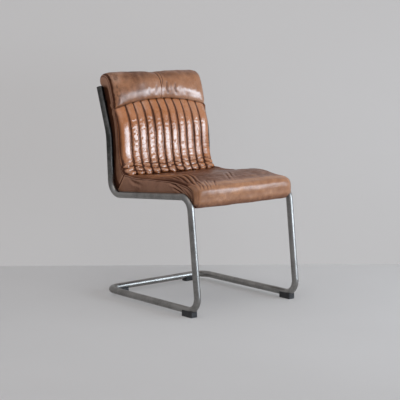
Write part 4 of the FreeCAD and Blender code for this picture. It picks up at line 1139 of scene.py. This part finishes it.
class CHAIR_OT_rear(Operator):
    """Makes the leather panel behind the back"""
    bl_idname = "chair.rear"
    bl_label = "Rear panel"

    def execute(self, context):
        half = mm("panel_half")
        corners = [REAR_TOP, POST_KINK, RAIL_BACK, REAR_END]
        path = rounded(corners, [KINK_RADIUS, BEND_RADIUS], REAR_STEP)
        outside, inside = offset(path, REAR_OUTSIDE), offset(path, REAR_INSIDE)
        across = panel_columns(REAR_COLUMNS, 1.3)
        run = run_of(outside)[:, None]
        to_edge = half - np.abs(across)
        to_rim = np.minimum(to_edge, np.minimum(run, run[-1] - run))
        relief = valley(to_rim, 5.0, 1.8)
        relief += 0.9 * noise(across / 80, run / 70, 81) + 0.4 * noise(across / 28, run / 22, 82)
        relief = np.minimum(relief, 1.2) * smoothstep(0, 12, to_rim) + valley(to_edge, 5.0, 1.0)
        grid = in_space(across, np.broadcast_to(outside[:, None], relief.shape + (2,)))
        grid = lifted(grid, (0, 1, 0), relief)
        upholster("rear_panel", grid, [(inside, -half), (inside, half)], fold_shade(relief, 8, 0.7),
                  "side leather", ("rear_cover", "rear_padding"))
        sew_sides("rear_stitching", lifted(grid, (0, 1, 0), STITCH_LIFT)[3:-3], across)
        return {"FINISHED"}


# Finishes of the CAD's hard parts

HARDWARE = {
    "bare steel": ("frame_tube_left", "frame_tube_right", "tube_joint_spigot", "seat_crossbar_front",
                   "seat_crossbar_rear", "back_crossbar_low", "back_crossbar_high"),
    "zinc plate": ("shell_bolts", "shell_washers", "tee_nuts", "glide_rivets"),
    "black plastic": ("post_cap_left", "post_cap_right", "front_glide_left", "front_glide_right",
                      "rear_glide_left", "rear_glide_right"),
    "plywood": ("plywood_shell",),
    "lining cloth": ("seat_lining",),
}


class CHAIR_OT_hardware(Operator):
    """Gives the steel, plastic and plywood parts their finish"""
    bl_idname = "chair.hardware"
    bl_label = "Frame and hardware"

    def execute(self, context):
        for name, cad_nodes in HARDWARE.items():
            material = bare_steel() if name == "bare steel" else hard(name)
            for cad_node in cad_nodes:
                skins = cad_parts[cad_node].data.materials
                skins.clear()
                skins.append(material)
        return {"FINISHED"}


# Stage

CAMERA_PLACE = (-2.8808, -3.5043, 0.9873)
CAMERA_HEADING, CAMERA_PITCH, CAMERA_ROLL = 39.61, -7.78, -0.279
FOCAL_PIXELS, FRAME_PIXELS, SENSOR = 1217, 400, 36  # the sensor is in millimetres
LAMP_TARGET, LAMP_DISTANCE = Vector((0, 0, 0.55)), 2.6
LAMPS = (  # name, heading, pitch, width, height, power, tint and spread
    ("window", -33, -4.5, 2.5, 1.1, 17, (0.76, 0.88, 1.0), 90),
    ("overhead", 20, -68, 2.2, 2.2, 11.5, (1.0, 0.955, 0.90), 180),
)
SKY_LOW, SKY_HIGH = (0.26, 0.26, 0.27, 1), (0.62, 0.63, 0.66, 1)
STAGE_HALF, WALL_HEIGHT = 9.0, 4


def aim(heading, pitch, roll=0.0):
    """Rotation of a camera or lamp that looks along a heading, clockwise from +Y, and a pitch."""
    heading, pitch, roll = (math.radians(angle) for angle in (heading, pitch, roll))
    ahead = Vector((math.sin(heading) * math.cos(pitch), math.cos(heading) * math.cos(pitch), math.sin(pitch)))
    level = Vector((math.cos(heading), -math.sin(heading), 0))
    above = level.cross(ahead)
    right = math.cos(roll) * level + math.sin(roll) * above
    up = math.cos(roll) * above - math.sin(roll) * level
    return Matrix((right, up, -ahead)).transposed()


def lamp(name, heading, pitch, width, height, power, tint, spread):
    """A soft rectangular lamp that looks at the middle of the chair."""
    light = bpy.data.lights.new(name, "AREA")
    light.shape = "RECTANGLE"
    light.size, light.size_y, light.energy, light.color = width, height, power, tint
    light.spread = math.radians(spread)
    made = new_object(name, light)
    turn = aim(heading, pitch)
    place = LAMP_TARGET - turn @ Vector((0, 0, -1)) * LAMP_DISTANCE
    made.matrix_world = Matrix.Translation(place) @ turn.to_4x4()
    made.visible_camera = False


def camera():
    made = new_object("camera", bpy.data.cameras.new("camera"))
    made.data.sensor_width = SENSOR
    made.data.lens = FOCAL_PIXELS / FRAME_PIXELS * SENSOR
    turn = aim(CAMERA_HEADING, CAMERA_PITCH, CAMERA_ROLL)
    made.matrix_world = Matrix.Translation(Vector(CAMERA_PLACE)) @ turn.to_4x4()
    return made


def plain_world():
    """An even room: dim below, pale above."""
    world = bpy.data.worlds.new("studio")
    world.use_nodes = True
    tree = world.node_tree
    rise = node(tree, "ShaderNodeSeparateXYZ", {0: in_object(tree)}).outputs["Z"]
    sky = mixed(ranged(rise, -0.1, 0.7), SKY_LOW, SKY_HIGH)
    tree.links.new(sky, tree.nodes["Background"].inputs["Color"])
    return world


def stage_material(name, tone, glow, one_sided=False):
    """A pale matt surface; a share of its tone is its own, as seen directly or in a reflection."""
    material, tree, shader = new_material(name)
    darker = rgba(0.96 * channel for channel in tone)
    patches = clouds(in_object(tree), 1.2, 3.0)[0]
    base = mixed(ranged(patches, 0.35, 0.65), rgba(tone), darker)
    tree.links.new(base, shader.inputs["Base Color"])
    shader.inputs["Roughness"].default_value = 0.75
    shader.inputs["Specular IOR Level"].default_value = 0.25
    rays = node(tree, "ShaderNodeLightPath").outputs
    mirrored = plus(rays["Is Glossy Ray"], rays["Is Transmission Ray"])
    seen = plus(rays["Is Camera Ray"], mirrored, clamp=True)
    own = node(tree, "ShaderNodeEmission", {"Color": rgba(tone), "Strength": 0.9}).outputs[0]
    shares = {0: times(seen, glow), 1: shader.outputs[0], 2: own}
    surface = node(tree, "ShaderNodeMixShader", shares).outputs[0]
    if one_sided:
        clear = node(tree, "ShaderNodeBsdfTransparent")
        behind = node(tree, "ShaderNodeNewGeometry").outputs["Backfacing"]
        surface = node(tree, "ShaderNodeMixShader", {0: behind, 1: surface, 2: clear.outputs[0]}).outputs[0]
    tree.links.new(surface, tree.nodes["Material Output"].inputs["Surface"])
    return material


def stage_plane(name, corners, material):
    mesh = bpy.data.meshes.new(name)
    mesh.from_pydata([Vector(corner) for corner in corners], [], [(0, 1, 2, 3)])
    mesh.materials.append(material)
    new_object(name, mesh)


class CHAIR_OT_stage(Operator):
    """Sets up the floor, the wall, the lamps and the camera"""
    bl_idname = "chair.stage"
    bl_label = "Stage"

    def execute(self, context):
        scene, wide, settings = context.scene, STAGE_HALF, context.scene.chair_stage
        stage_plane("floor", [(-wide, -wide, 0), (wide, -wide, 0), (wide, wide, 0), (-wide, wide, 0)],
                    stage_material("pale floor", settings.floor, 0.25))
        turn = aim(CAMERA_HEADING, 0)
        foot = Vector((*CAMERA_PLACE[:2], 0)) - turn.col[2] * settings.wall_distance
        aside, rise = turn.col[0] * wide, Vector((0, 0, WALL_HEIGHT))
        stage_plane("wall", [foot + aside, foot + aside + rise, foot - aside + rise, foot - aside],
                    stage_material("pale wall", settings.wall, 0.65, one_sided=True))
        for values in LAMPS:
            lamp(*values)
        scene.camera = camera()
        scene.world = plain_world()
        scene.view_settings.view_transform = "Standard"
        return {"FINISHED"}


PIECES = (CHAIR_OT_seat, CHAIR_OT_back, CHAIR_OT_yoke, CHAIR_OT_sides, CHAIR_OT_rear, CHAIR_OT_hardware,
          CHAIR_OT_stage)


class CHAIR_PT_panel(Panel):
    """Lists the chair's parts and its sizes"""
    bl_idname = "CHAIR_PT_panel"
    bl_label = "Chair"
    bl_space_type = "VIEW_3D"
    bl_region_type = "UI"
    bl_category = "Chair"

    def draw(self, context):
        for piece in PIECES:
            self.layout.operator(piece.bl_idname)
        for settings in (context.scene.chair_sizes, context.scene.chair_colours, context.scene.chair_stage):
            for name in settings.__annotations__:
                self.layout.prop(settings, name)


GROUPS = (ChairSizes, ChairColours, StageSettings)


def register():
    for item in GROUPS + PIECES + (CHAIR_PT_panel,):
        bpy.utils.register_class(item)
    bpy.types.Scene.chair_sizes = PointerProperty(type=ChairSizes)
    bpy.types.Scene.chair_colours = PointerProperty(type=ChairColours)
    bpy.types.Scene.chair_stage = PointerProperty(type=StageSettings)


def unregister():
    del bpy.types.Scene.chair_sizes, bpy.types.Scene.chair_colours, bpy.types.Scene.chair_stage
    for item in reversed(GROUPS + PIECES + (CHAIR_PT_panel,)):
        bpy.utils.unregister_class(item)


def main():
    register()
    for piece in PIECES:
        getattr(bpy.ops.chair, piece.bl_idname.split(".")[1])()


if __name__ == "__main__":
    main()
